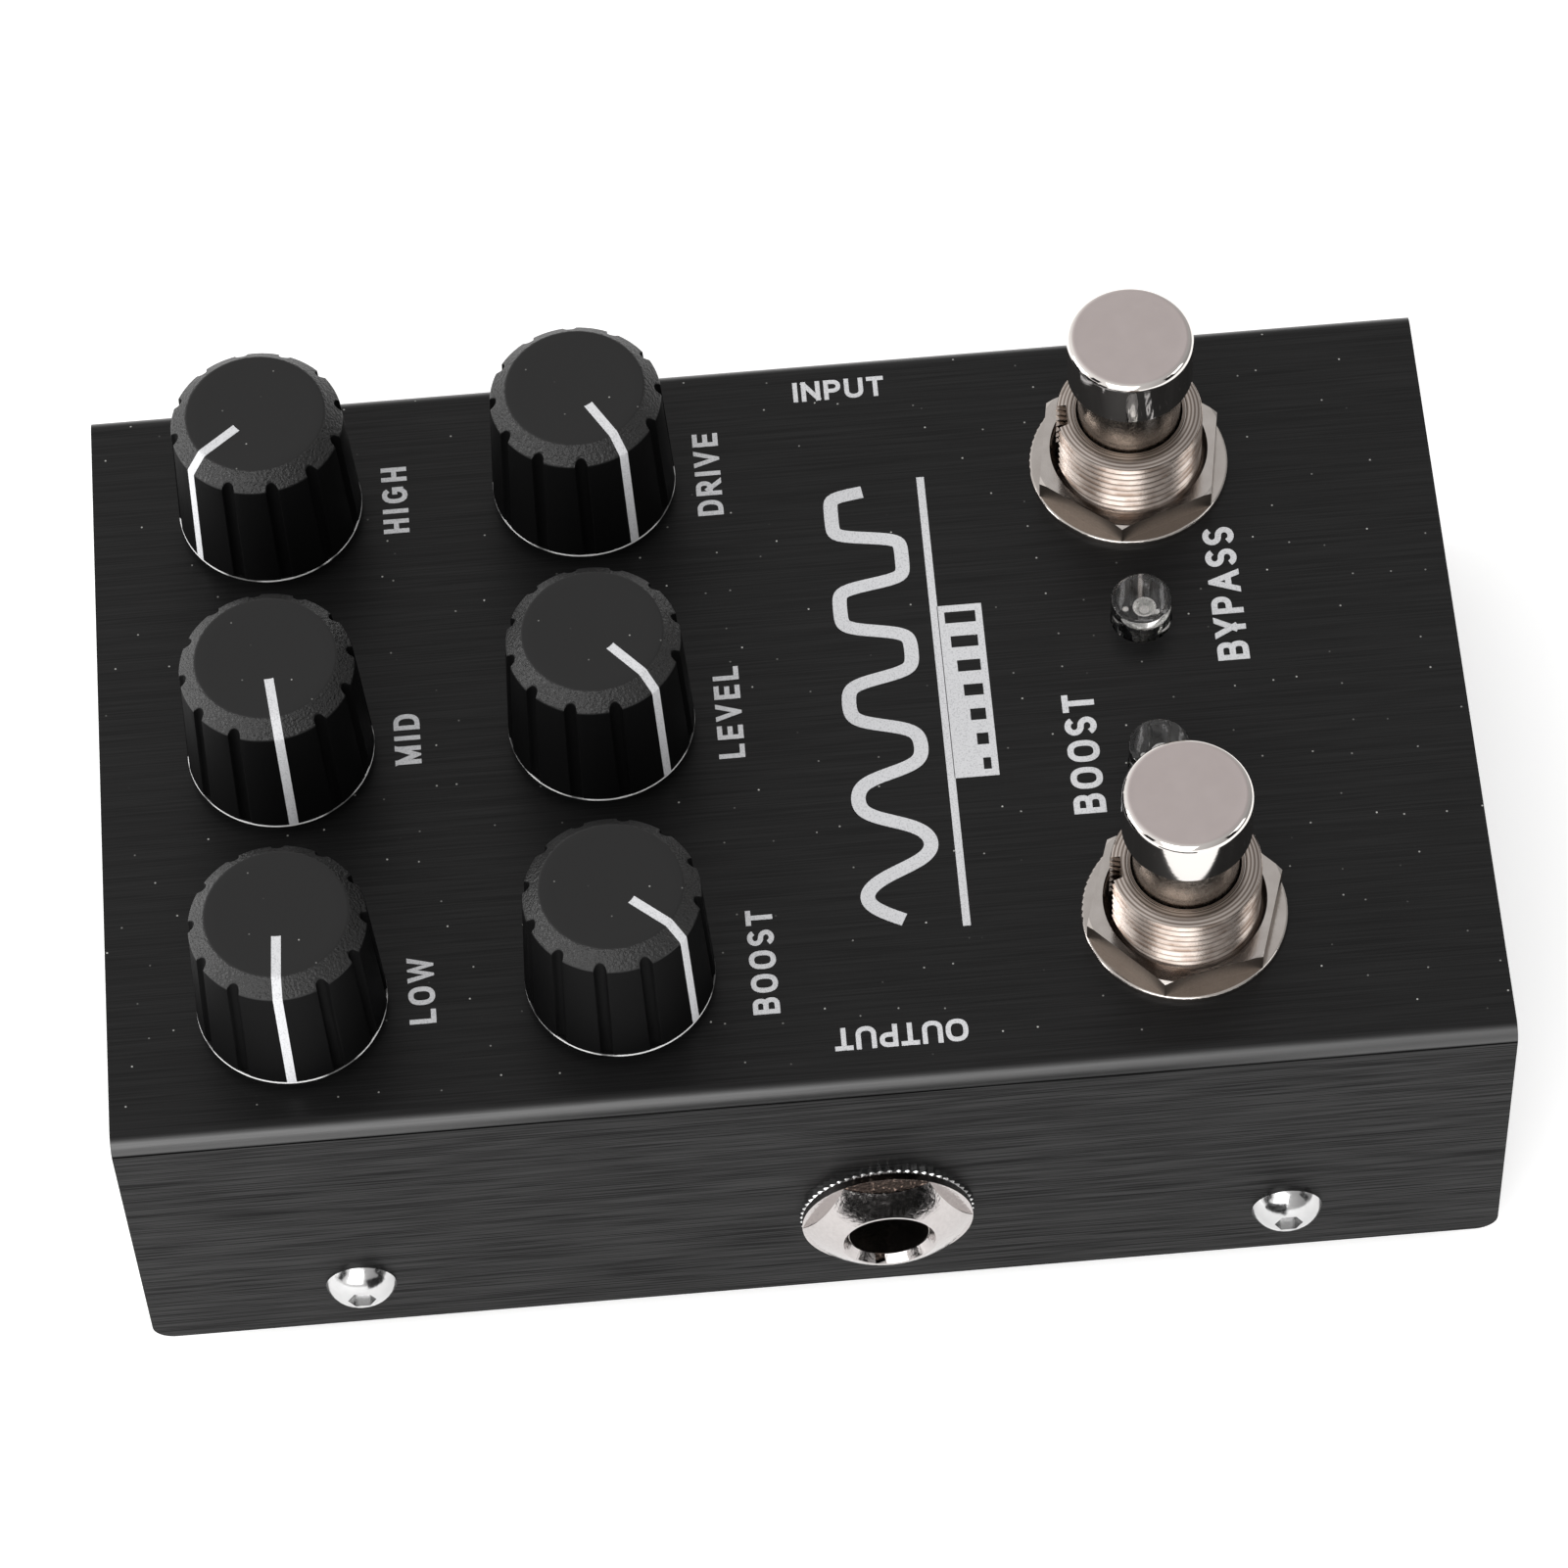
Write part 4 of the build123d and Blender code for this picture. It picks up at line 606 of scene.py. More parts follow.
def grid_surface(bm, rings, closed=True):
    """Faces between rings of points; each ring has as many points as the first."""
    rows = [[bm.verts.new(p) for p in ring] for ring in rings]
    count = len(rings[0])
    for low_row, high_row in zip(rows, rows[1:]):
        for i in range(count if closed else count - 1):
            j = (i + 1) % count
            bm.faces.new((low_row[i], low_row[j], high_row[j], high_row[i]))
    return rows


def cap_ring(bm, row):
    """Close a row of vertices with one face."""
    bm.faces.new(row)


def lathe(bm, profile, segments):
    """Surface of revolution round an upright axis; an end at radius 0 is closed with a face."""
    angles = [2 * math.pi * i / segments for i in range(segments)]
    rings = [
        [(r * math.cos(a), r * math.sin(a), z) for a in angles]
        for r, z in profile
        if r > 0
    ]
    rows = grid_surface(bm, rings)
    if profile[0][0] == 0:
        cap_ring(bm, rows[0])
    if profile[-1][0] == 0:
        cap_ring(bm, rows[-1])
    return rows


# ---------------------------------------------------------------- knobs

KNOB_BASE = 1.2
KNOB_SHOULDER = 13.1
KNOB_FACE = 14.4
KNOB_BASE_RADIUS = 7.5
KNOB_SHOULDER_RADIUS = 6.92
KNOB_FACE_RADIUS = 5.6
KNOB_WALL_INSIDE = 6.2
KNOB_CAVITY_TOP = 5.1
FLUTES = 12
FLUTE_RADIUS = 0.48
FLUTE_DEPTH = 0.52
FLUTE_LIP = 0.15
FLUTE_SPAN = 4.7
FLUTE_STEPS = 24
KNOB_LEAN = (KNOB_BASE_RADIUS - KNOB_SHOULDER_RADIUS) / (KNOB_SHOULDER - KNOB_BASE)
RIM_SETBACK = 0.12
BEVEL_STEP = 0.07
SIDE_STEPS = 24
POINTER_WIDTH = 0.74
POINTER_START = 2.0
POINTER_PROUD = 0.03


def knob_angles():
    """Angles round a knob in degrees, close together over each flute."""
    gap = 360 / FLUTES - 2 * FLUTE_SPAN
    angles = []
    for flute in range(FLUTES):
        middle = flute * 360 / FLUTES
        start, end = middle - FLUTE_SPAN, middle + FLUTE_SPAN
        angles += [start + (end - start) * i / FLUTE_STEPS for i in range(FLUTE_STEPS + 1)]
        angles += [end + gap * i / 6 for i in range(1, 6)]
    return angles


def fluted(radius, z, degrees):
    """Radius of the knob at an angle and height: the plain radius, or less inside a flute."""
    flute = round(degrees / (360 / FLUTES))
    if flute % FLUTES == 0:
        return radius
    off = math.radians(degrees - flute * 360 / FLUTES)
    middle = KNOB_BASE_RADIUS + FLUTE_RADIUS - FLUTE_DEPTH - KNOB_LEAN * (z - KNOB_BASE)
    aside = abs(middle * math.sin(off))
    if aside < FLUTE_RADIUS:
        groove = middle * math.cos(off) - math.sqrt(FLUTE_RADIUS ** 2 - aside ** 2)
    else:
        groove = middle * math.cos(off) + 3 * (aside - FLUTE_RADIUS)
    blend = max(0.0, 1 - abs(radius - groove) / FLUTE_LIP)
    return min(radius, groove) - blend ** 2 * FLUTE_LIP / 4


def knob_profile():
    """Outside of the knob from its base to the middle of its face, as (radius, height)."""
    skirt = KNOB_BASE_RADIUS - RIM_SETBACK
    foot = [(skirt - 0.23, KNOB_BASE), (skirt, KNOB_BASE), (skirt, KNOB_BASE + 0.22)]
    body = [
        (skirt, KNOB_BASE + 0.22),
        (KNOB_BASE_RADIUS - 0.02, KNOB_BASE + 0.26),
        (KNOB_SHOULDER_RADIUS, KNOB_SHOULDER),
        (KNOB_FACE_RADIUS, KNOB_FACE),
        (KNOB_FACE_RADIUS - 1.2, KNOB_FACE - 0.02),
        (1.0, KNOB_FACE - 0.06),
    ]
    outline = rounded(foot, 0.04)[:-1] + rounded(body, 0.16)
    points = [outline[0]]
    for start, end in zip(outline, outline[1:]):
        rise = abs(end[1] - start[1])
        if start[1] > KNOB_SHOULDER - 0.3:
            steps = max(1, math.ceil(rise / BEVEL_STEP))
        else:
            steps = SIDE_STEPS if rise > 1 else 1
        for i in range(1, steps + 1):
            t = i / steps
            points.append((start[0] + (end[0] - start[0]) * t, start[1] + (end[1] - start[1]) * t))
    return points


def fluted_ring(radius, z, degrees):
    """Closed ring of the knob's outside at a height."""
    ring = []
    for angle in degrees:
        r = fluted(radius, z, angle)
        ring.append((r * math.cos(math.radians(angle)), r * math.sin(math.radians(angle)), z))
    return ring


def build_skirt(control, profile, place):
    """Fluted outside of a knob, and the cavity under it."""
    degrees = knob_angles()
    cavity = (
        (0.9, KNOB_CAVITY_TOP),
        (KNOB_WALL_INSIDE, KNOB_CAVITY_TOP),
        (KNOB_WALL_INSIDE, KNOB_BASE + 0.3),
        (KNOB_WALL_INSIDE + 0.3, KNOB_BASE),
    )
    rings = [
        [(r * math.cos(math.radians(angle)), r * math.sin(math.radians(angle)), z) for angle in degrees]
        for r, z in cavity
    ]
    rings += [fluted_ring(r, z, degrees) for r, z in profile]
    bm = bmesh.new()
    rows = grid_surface(bm, rings)
    cap_ring(bm, rows[0])
    cap_ring(bm, rows[-1])
    body = control + "_control"
    piece("knob_skirt_" + control, bm, KNOB_BLACK, body, ("knob_" + control,), 38, place)


def build_rim(control, place):
    """Painted highlight round the foot of a knob: a thin pale tube set into its skirt."""
    turns = [2 * math.pi * i / 8 for i in range(9)]
    tube = [
        (KNOB_BASE_RADIUS - 0.08 + 0.07 * math.cos(a), KNOB_BASE + 0.10 + 0.09 * math.sin(a))
        for a in turns
    ]
    bm = bmesh.new()
    lathe(bm, tube, 128)
    bmesh.ops.remove_doubles(bm, verts=bm.verts, dist=0.001)
    piece("knob_rim_highlight_" + control, bm, KNOB_RIM_HIGHLIGHT, control + "_control", (), 80, place)


def build_pointer(control, profile, place):
    """White line over the face, bevel and side, standing a little proud."""
    line = [(POINTER_START, KNOB_FACE - 0.05)]
    line += [(r, z) for r, z in reversed(profile) if r > POINTER_START and z > KNOB_BASE + 0.2]
    bm = bmesh.new()
    rows = []
    for i, (r, z) in enumerate(line):
        before, after = line[max(i - 1, 0)], line[min(i + 1, len(line) - 1)]
        along = Vector((after[0] - before[0], after[1] - before[1])).normalized()
        out = Vector((-along.y, along.x)) * POINTER_PROUD
        row = []
        for off in (POINTER_WIDTH * (i / 4 - 0.5) for i in range(5)):
            base = math.sqrt(r * r - off * off)
            row.append((bm.verts.new((base, off, z)), bm.verts.new((base + out.x, off, z + out.y))))
        rows.append(row)
    for one, two in zip(rows, rows[1:]):
        for i in range(4):
            bm.faces.new((one[i][1], one[i + 1][1], two[i + 1][1], two[i][1]))
        for edge in (0, 4):
            bm.faces.new((one[edge][0], one[edge][1], two[edge][1], two[edge][0]))
    for end in (rows[0], rows[-1]):
        for i in range(4):
            bm.faces.new((end[i][0], end[i + 1][0], end[i + 1][1], end[i][1]))
    piece("knob_pointer_" + control, bm, PRINT_WHITE, control + "_control", (), 40, place)


def build_knob(control):
    """One knob, turned to where its pointer rests."""
    x, y = centre("knob_" + control)
    joint = next(j for j in frame["joints"] if j["name"] == control + "_turn")
    place = standing(x, y, PANEL, joint["range_deg"][0] + POINTER_SWEEP)
    profile = knob_profile()
    build_rim(control, place)
    build_skirt(control, profile, place)
    build_pointer(control, profile, place)


for control_name in CONTROLS:
    build_knob(control_name)


# ---------------------------------------------------------------- footswitches

THREAD_PITCH = 0.75
THREAD_FOOT = 1.2
THREAD_STEPS = 16
BUSH_COLUMNS = 240
BUSH_TOP = 7.8
BUSH_LIP_RADIUS = 5.2
BUSH_BORE = 4.2
KEYWAY_HALF = 1.0
KEYWAY_DEPTH = 0.9
FRAME_TOP = -4.3
FRAME_HEIGHT = 1.2
FRAME_HALF = 8.3
CAP_EDGE = 0.62
CAP_FOOT = 0.15
CAP_SEGMENTS = 160
SPRING_WIRE = 0.35
SPRING_TURNS = 6
SPRING_STEPS = 32
SPRING_SIDES = 10


def thread_radius(z, turn):
    """Radius of the thread at a height and turn (0 to 1), fading out at its top."""
    phase = (z / THREAD_PITCH - turn) % 1.0
    tooth = abs(phase - 0.5) * 2
    groove = max(0.0, min(1.0, (0.92 - tooth) / 0.84))
    fade = max(0.0, min(1.0, (BUSH_TOP - 0.12 - z) / 0.35))
    return THREAD_RADIUS - THREAD_DEPTH * groove * fade


def bush_point(radius, turn, z):
    """Point on the bush at a radius, turn and height, with the keyway cut flat."""
    sideways, forward = radius * math.cos(2 * math.pi * turn), radius * math.sin(2 * math.pi * turn)
    if abs(sideways) < KEYWAY_HALF:
        forward = min(forward, THREAD_RADIUS - KEYWAY_DEPTH)
    return sideways, forward, z


def build_switch_bush(name):
    """Threaded bush with its keyway, on the square frame plate under the panel."""
    x, y = centre("switch_bush_" + name)
    turns = [i / BUSH_COLUMNS for i in range(BUSH_COLUMNS)]
    thread_top = BUSH_TOP - 0.3
    end_face = (
        (BUSH_BORE, FRAME_TOP),
        (BUSH_BORE, BUSH_TOP - 0.18),
        (BUSH_BORE + 0.14, BUSH_TOP - 0.02),
        (BUSH_BORE + 0.32, BUSH_TOP - 0.02),
        (BUSH_BORE + 0.36, BUSH_TOP - 0.07),
        (BUSH_BORE + 0.44, BUSH_TOP - 0.07),
        (BUSH_BORE + 0.48, BUSH_TOP),
        (BUSH_LIP_RADIUS - 0.05, BUSH_TOP),
        (BUSH_LIP_RADIUS + 0.05, BUSH_TOP - 0.02),
        (THREAD_RADIUS - 0.12, BUSH_TOP - 0.22),
    )
    upper = [[bush_point(r, t, z) for t in turns] for r, z in end_face]
    upper.append([bush_point(thread_radius(thread_top, t), t, thread_top) for t in turns])
    lower = [[bush_point(thread_radius(THREAD_FOOT, t), t, THREAD_FOOT) for t in turns]]
    for z in (THREAD_FOOT - 0.05, FRAME_TOP):
        lower.append([bush_point(THREAD_RADIUS - 0.02, t, z) for t in turns])
    rise = THREAD_PITCH / THREAD_STEPS
    helix = []
    for step in range(math.ceil((thread_top - THREAD_FOOT + THREAD_PITCH) / rise) + 1):
        row = []
        for column in range(BUSH_COLUMNS + 1):
            turn = column / BUSH_COLUMNS
            z = THREAD_FOOT + step * rise + THREAD_PITCH * (turn - 1)
            z = min(thread_top, max(THREAD_FOOT, z))
            row.append(bush_point(thread_radius(z, turn), turn, z))
        helix.append(row)
    bm = bmesh.new()
    upper_rows = grid_surface(bm, upper)
    lower_rows = grid_surface(bm, lower)
    bmesh.ops.bridge_loops(bm, edges=ring_edges(upper_rows[0]) + ring_edges(lower_rows[-1]))
    grid_surface(bm, helix, closed=False)
    bmesh.ops.remove_doubles(bm, verts=bm.verts, dist=0.004)
    plate = bmesh.ops.create_cube(bm, size=1.0)["verts"]
    bmesh.ops.scale(bm, vec=(2 * FRAME_HALF, 2 * FRAME_HALF, FRAME_HEIGHT), verts=plate)
    bmesh.ops.translate(bm, vec=(0, 0, FRAME_TOP - FRAME_HEIGHT / 2), verts=plate)
    edges = {edge for vertex in plate for edge in vertex.link_edges}
    upright_edges = [e for e in bm.edges if e in edges and abs(e.verts[0].co.z - e.verts[1].co.z) > 0.5]
    bmesh.ops.bevel(bm, geom=upright_edges, offset=1.0, segments=5, affect="EDGES")
    piece(
        "switch_threaded_bush_" + name,
        bm,
        NICKEL_THREAD,
        "case",
        ("switch_bush_" + name,),
        40,
        standing(x, y, PANEL),
    )


def ring_edges(row):
    """Edges between neighbouring vertices of a closed row."""
    edges = []
    for a, b in zip(row, row[1:] + row[:1]):
        edges.append(next(e for e in a.link_edges if e.other_vert(a) is b))
    return edges


def build_switch_cap(name):
    """Footswitch button with a rounded upper edge."""
    x, y = centre("switch_cap_" + name)
    low, high = corners("switch_cap_" + name)
    radius = (high.x - low.x) / 2
    bottom, top = low.z - PANEL, high.z - PANEL
    side = [
        (0, bottom),
        (radius - CAP_FOOT, bottom),
        (radius, bottom + CAP_FOOT),
        (radius, top - CAP_EDGE),
    ]
    edge = []
    for degrees in range(8, 90, 8):
        a = math.radians(degrees)
        edge.append((radius - CAP_EDGE * (1 - math.cos(a)), top - CAP_EDGE + CAP_EDGE * math.sin(a)))
    face = [(radius - 0.66, top - 0.004), (radius - 1.2, top), (0, top)]
    bm = bmesh.new()
    lathe(bm, side + edge + face, CAP_SEGMENTS)
    piece(
        "switch_button_" + name,
        bm,
        NICKEL_CAP,
        name + "_button",
        ("switch_cap_" + name,),
        35,
        standing(x, y, PANEL),
    )


def build_spring(name):
    """Return spring under a footswitch."""
    node = "switch_spring_" + name
    x, y = centre(node)
    low, high = corners(node)
    radius = (high.x - low.x) / 2 - SPRING_WIRE
    length = high.z - low.z - 2 * SPRING_WIRE
    count = SPRING_TURNS * SPRING_STEPS
    bm = bmesh.new()
    rings = []
    for i in range(count + 1):
        angle = 2 * math.pi * i / SPRING_STEPS
        ring = []
        for j in range(SPRING_SIDES):
            side = 2 * math.pi * j / SPRING_SIDES
            reach = radius + SPRING_WIRE * math.cos(side)
            height = low.z + SPRING_WIRE + length * i / count + SPRING_WIRE * math.sin(side)
            ring.append((x + reach * math.cos(angle), y + reach * math.sin(angle), height))
        rings.append(ring)
    rows = grid_surface(bm, rings)
    cap_ring(bm, rows[0])
    cap_ring(bm, rows[-1])
    coil = piece("switch_coil_" + name, bm, TINNED, "case", (node,), 60)
    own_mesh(coil)


for switch_name in SWITCHES:
    build_switch_bush(switch_name)
    build_switch_cap(switch_name)
    build_spring(switch_name)


# ---------------------------------------------------------------- lamps

LAMP_RADIUS = 2.42
LAMP_FLANGE_RADIUS = 2.9
LAMP_FLANGE_HEIGHT = 1.0


def build_lamp(name):
    """Clear flat-topped lamp body with its flange under the panel."""
    x, y = centre("lamp_" + name)
    low, high = corners("lamp_" + name)
    base, top = low.z - PANEL, high.z - PANEL
    outline = [
        (0, base),
        (LAMP_FLANGE_RADIUS, base),
        (LAMP_FLANGE_RADIUS, base + LAMP_FLANGE_HEIGHT),
        (LAMP_RADIUS, base + LAMP_FLANGE_HEIGHT),
        (LAMP_RADIUS, top),
        (LAMP_RADIUS - 0.30, top),
        (LAMP_RADIUS - 0.42, top - 0.04),
        (0, top - 0.04),
    ]
    bm = bmesh.new()
    lathe(bm, rounded(outline, 0.07, 5), 96)
    piece(
        "lamp_lens_" + name,
        bm,
        CLEAR_LAMP,
        "case",
        ("lamp_" + name,),
        50,
        standing(x, y, PANEL),
    )


for lamp_name in SWITCHES:
    build_lamp(lamp_name)


# ---------------------------------------------------------------- jack washers

WASHER_TEETH = 60
WASHER_BORE = 4.65
TOOTH_DEPTH = 0.28
TOOTH_STEPS = 6
TOOTH_TAPER = 0.965
WASHER_THICKNESS = 0.5


def washer_outline():
    """Toothed edge and round bore of a washer, as points round its middle."""
    middle = (corners("jack_washers")[1].z - corners("jack_washers")[0].z) / 2
    count = WASHER_TEETH * TOOTH_STEPS
    edge, bore = [], []
    for i in range(count):
        valley = abs((i % TOOTH_STEPS) / TOOTH_STEPS - 0.5) * 2
        radius = middle - TOOTH_DEPTH * min(1.0, max(0.0, 1.4 * valley - 0.2))
        across, up = math.cos(2 * math.pi * i / count), math.sin(2 * math.pi * i / count)
        edge.append((radius * across, radius * up))
        bore.append((WASHER_BORE * across, WASHER_BORE * up))
    return edge, bore


def build_jack_washers():
    """Two toothed washers, one under each jack nut."""
    low, high = corners("jack_washers")
    y, z = (low.y + high.y) / 2, (low.z + high.z) / 2
    edge, bore = washer_outline()
    inner_edge = [(TOOTH_TAPER * a, TOOTH_TAPER * b) for a, b in edge]
    levels = (
        (bore, 0.0),
        (bore, WASHER_THICKNESS),
        (inner_edge, WASHER_THICKNESS),
        (edge, WASHER_THICKNESS - 0.2),
        (edge, 0.0),
        (bore, 0.0),
    )
    bm = bmesh.new()
    for side in (-1, 1):
        part = bmesh.new()
        rings = [[(side * (WALL + depth), y + a, z + b) for a, b in ring] for ring, depth in levels]
        grid_surface(part, rings)
        bmesh.ops.remove_doubles(part, verts=part.verts, dist=0.0005)
        absorb(bm, part)
    piece("jack_toothed_washers", bm, SCREW_STEEL, "case", ("jack_washers",), 30)


build_jack_washers()


# ---------------------------------------------------------------- printed words and lines

STROKE = 0.195
LETTER_TOP = 1.0 - STROKE


def bow(cx, cy, rx, ry, start, end, steps=14, power=2.3):
    """Points on a squarish ellipse between two angles in degrees."""
    points = []
    for i in range(steps + 1):
        a = math.radians(start + (end - start) * i / steps)
        c, s = math.cos(a), math.sin(a)
        points.append((
            cx + rx * math.copysign(abs(c) ** (2 / power), c),
            cy + ry * math.copysign(abs(s) ** (2 / power), s),
        ))
    return points


def bowl(width, low, high, start_x=0.0):
    """Right-hand bowl of letters such as D and P, from its top to its bottom."""
    radius = (high - low) / 2
    reach = min(radius, width * 0.6)
    return (
        [(start_x, high)]
        + bow(width - reach, (low + high) / 2, reach, radius, 90, -90)
        + [(start_x, low)]
    )


def bar(x0, y0, x1, y1, extra=STROKE / 2):
    """Straight stroke between two points, lengthened at both ends."""
    return [(x0, y0), (x1, y1)], extra


def letter(character):
    """Width between the outer centrelines, and strokes as (points, extra length at both ends)."""
    t = LETTER_TOP
    half, slant = STROKE / 2, STROKE
    post = bar(0, 0, 0, t)
    top_s = bow(0.23, t * 0.75, 0.23, t * 0.25, 20, 270, 18, 2.0)
    foot_s = bow(0.23, t * 0.25, 0.23, t * 0.25, 90, -160, 18, 2.0)
    cup = [(0, t), (0, 0.28)] + bow(0.26, 0.28, 0.26, 0.28, 180, 360) + [(0.52, t)]
    shapes = {
        "A": (0.60, [([(0, 0), (0.30, t), (0.60, 0)], slant), bar(0.10, 0.27, 0.50, 0.27, 0)]),
        "B": (0.50, [post, (bowl(0.47, t * 0.52, t), 0), (bowl(0.50, 0, t * 0.52), 0)]),
        "D": (0.515, [post, (bowl(0.515, 0, t), 0)]),
        "E": (0.42, [post, bar(0, t, 0.42, t), bar(0, 0, 0.42, 0), bar(0, t / 2, 0.38, t / 2)]),
        "G": (0.56, [
            (bow(0.28, t / 2, 0.28, t / 2, 38, 360), 0),
            bar(0.56, t / 2, 0.32, t / 2, 0),
            bar(0.56, t * 0.2, 0.56, t / 2),
        ]),
        "H": (0.46, [post, bar(0.46, 0, 0.46, t), bar(0, t / 2, 0.46, t / 2, 0)]),
        "I": (0.0, [post]),
        "L": (0.41, [post, bar(0, 0, 0.41, 0)]),
        "M": (0.62, [post, bar(0.62, 0, 0.62, t), ([(0, t), (0.31, 0.06), (0.62, t)], slant)]),
        "N": (0.52, [post, bar(0.52, 0, 0.52, t), bar(0, t, 0.52, 0)]),
        "O": (0.59, [(bow(0.295, t / 2, 0.295, t / 2, 0, 350, 35, 2.5), "closed")]),
        "P": (0.45, [post, (bowl(0.45, t * 0.44, t), 0)]),
        "R": (0.51, [post, (bowl(0.48, t * 0.44, t), 0), bar(0.24, t * 0.44, 0.51, 0, slant)]),
        "S": (0.46, [(top_s + foot_s[1:], 0)]),
        "T": (0.45, [bar(0, t, 0.45, t), bar(0.225, 0, 0.225, t)]),
        "U": (0.52, [(cup, half)]),
        "V": (0.52, [([(0, t), (0.26, 0), (0.52, t)], slant)]),
        "W": (0.84, [([(0, t), (0.21, 0), (0.42, t), (0.63, 0), (0.84, t)], slant)]),
        "Y": (0.50, [
            bar(0, t, 0.25, t * 0.42, slant),
            bar(0.50, t, 0.25, t * 0.42, slant),
            bar(0.25, 0, 0.25, t * 0.42),
        ]),
    }
    return shapes[character]


def ribbon(bm, points, width, height, closed=False):
    """Flat line of a given width along points, at a height."""
    line = []
    for p in points:
        if not line or (Vector(p) - line[-1]).length > 0.001:
            line.append(Vector(p))
    count = len(line)
    verts = []
    for i, p in enumerate(line):
        before = (p - line[i - 1]).normalized() if i or closed else None
        after = (line[(i + 1) % count] - p).normalized() if i + 1 < count or closed else None
        one, two = before or after, after or before
        side = Vector((-(one.y + two.y), one.x + two.x)).normalized()
        spread = width / 2 / max(0.35, side.dot(Vector((-one.y, one.x))))
        left, right = p + side * spread, p - side * spread
        verts.append((bm.verts.new((left.x, left.y, height)), bm.verts.new((right.x, right.y, height))))
    following = verts[1:] + verts[:1] if closed else verts[1:]
    for a, b in zip(verts, following):
        bm.faces.new((a[0], b[0], b[1], a[1]))


def trim(bm, low_y, high_y):
    """Cut off flat print outside two heights of the letter."""
    for y, way in ((low_y, -1), (high_y, 1)):
        geometry = bm.verts[:] + bm.edges[:] + bm.faces[:]
        plane = {"plane_co": (0, y, 0), "plane_no": (0, way, 0)}
        bmesh.ops.bisect_plane(bm, geom=geometry, clear_outer=True, **plane)


def thicken(bm, thickness):
    """Give flat print its thickness, downwards."""
    made = bmesh.ops.extrude_face_region(bm, geom=list(bm.faces))
    lower = [part for part in made["geom"] if isinstance(part, bmesh.types.BMVert)]
    bmesh.ops.translate(bm, vec=(0, 0, -thickness), verts=lower)


PRINT_HEIGHT = 0.03
PRINT_STEP = 0.0012


def build_word(name, word, place_x, place_y, length, cap, degrees, widen=1.0):
    """One printed word, centred at a place on the panel, as long and as tall as stated."""
    glyphs = [letter(c) for c in word]
    widths = [(w * widen + STROKE) * cap for w, strokes in glyphs]
    gap = (length - sum(widths)) / (len(word) - 1)
    bm = bmesh.new()
    cursor = -length / 2
    level = 0
    for (w, strokes), width in zip(glyphs, widths):
        for points, extra in strokes:
            line = [Vector((x * widen, y)) for x, y in points]
            closed = extra == "closed"
            if extra and not closed:
                line[0] = line[0] + (line[0] - line[1]).normalized() * extra
                line[-1] = line[-1] + (line[-1] - line[-2]).normalized() * extra
            part = bmesh.new()
            ribbon(part, line, STROKE, 0.0, closed)
            trim(part, -STROKE / 2, 1 - STROKE / 2)
            bmesh.ops.scale(part, vec=(cap, cap, 1), verts=part.verts)
            height = PRINT_HEIGHT + level * PRINT_STEP
            shift = (cursor + STROKE * cap / 2, (STROKE / 2 - 0.5) * cap, height)
            bmesh.ops.translate(part, vec=shift, verts=part.verts)
            thicken(part, height)
            absorb(bm, part)
            level = (level + 1) % 8
        cursor += width + gap
    place = standing(place_x, place_y, PANEL, degrees)
    piece(name, bm, PRINT_WHITE, "case", (), None, place)


# Name, word, centre in X and Y, length, height of its capitals, turn in degrees, widening
WORDS = (
    ("label_high", "HIGH", 23.96, 29.99, 6.52, 2.10, 0, 1.0),
    ("label_mid", "MID", 0.63, 30.06, 4.76, 2.10, 0, 1.0),
    ("label_low", "LOW", -22.86, 30.03, 5.97, 2.10, 0, 1.0),
    ("label_drive", "DRIVE", 24.00, 4.26, 8.14, 2.10, 0, 1.0),
    ("label_level", "LEVEL", 0.68, 4.20, 8.71, 2.10, 0, 1.0),
    ("label_boost", "BOOST", -22.78, 3.20, 9.50, 2.12, 0, 1.0),
    ("label_input", "INPUT", 31.48, -7.09, 7.52, 1.96, -90, 1.15),
    ("label_output", "OUTPUT", -30.37, -7.08, 10.46, 2.02, 90, 1.15),
    ("label_bypass", "BYPASS", 8.21, -36.68, 12.90, 2.56, 0, 1.0),
    ("label_boost_switch", "BOOST", -5.96, -23.76, 11.26, 2.58, 0, 1.0),
)

for word_row in WORDS:
    build_word(*word_row)


def build_line(name, points, width):
    """One printed line on the panel."""
    bm = bmesh.new()
    ribbon(bm, points, width, PRINT_HEIGHT)
    thicken(bm, PRINT_HEIGHT)
    piece(name, bm, PRINT_WHITE, "case", (), None, standing(0, 0, PANEL))


RULE_WIDTH = 0.62
WAVE_WIDTH = 1.15
WAVE_LEFT, WAVE_RIGHT = -20.0, 21.0
WAVE_Y = -8.2
WAVE_HEIGHT = 2.7
WAVE_TURNS = 4.5
WAVE_STEPS = 260


def clipped_wave():
    """A sine whose peaks are clipped harder and harder towards its right end."""
    points = []
    for i in range(WAVE_STEPS + 1):
        t = i / WAVE_STEPS
        drive = 0.35 + 3.6 * t
        swing = math.sin(2 * math.pi * WAVE_TURNS * t)
        clipped = math.tanh(drive * swing) / math.tanh(drive)
        points.append((WAVE_LEFT + (WAVE_RIGHT - WAVE_LEFT) * t, WAVE_Y + WAVE_HEIGHT * clipped))
    return points


BOX_LEFT, BOX_RIGHT = -7.3, 9.2
BOX_LOW, BOX_HIGH = -16.9, -13.3
BARS = 7
BAR_WIDTH = 1.1
BAR_MARGIN = 0.55
SHORTEST_BAR = 0.25


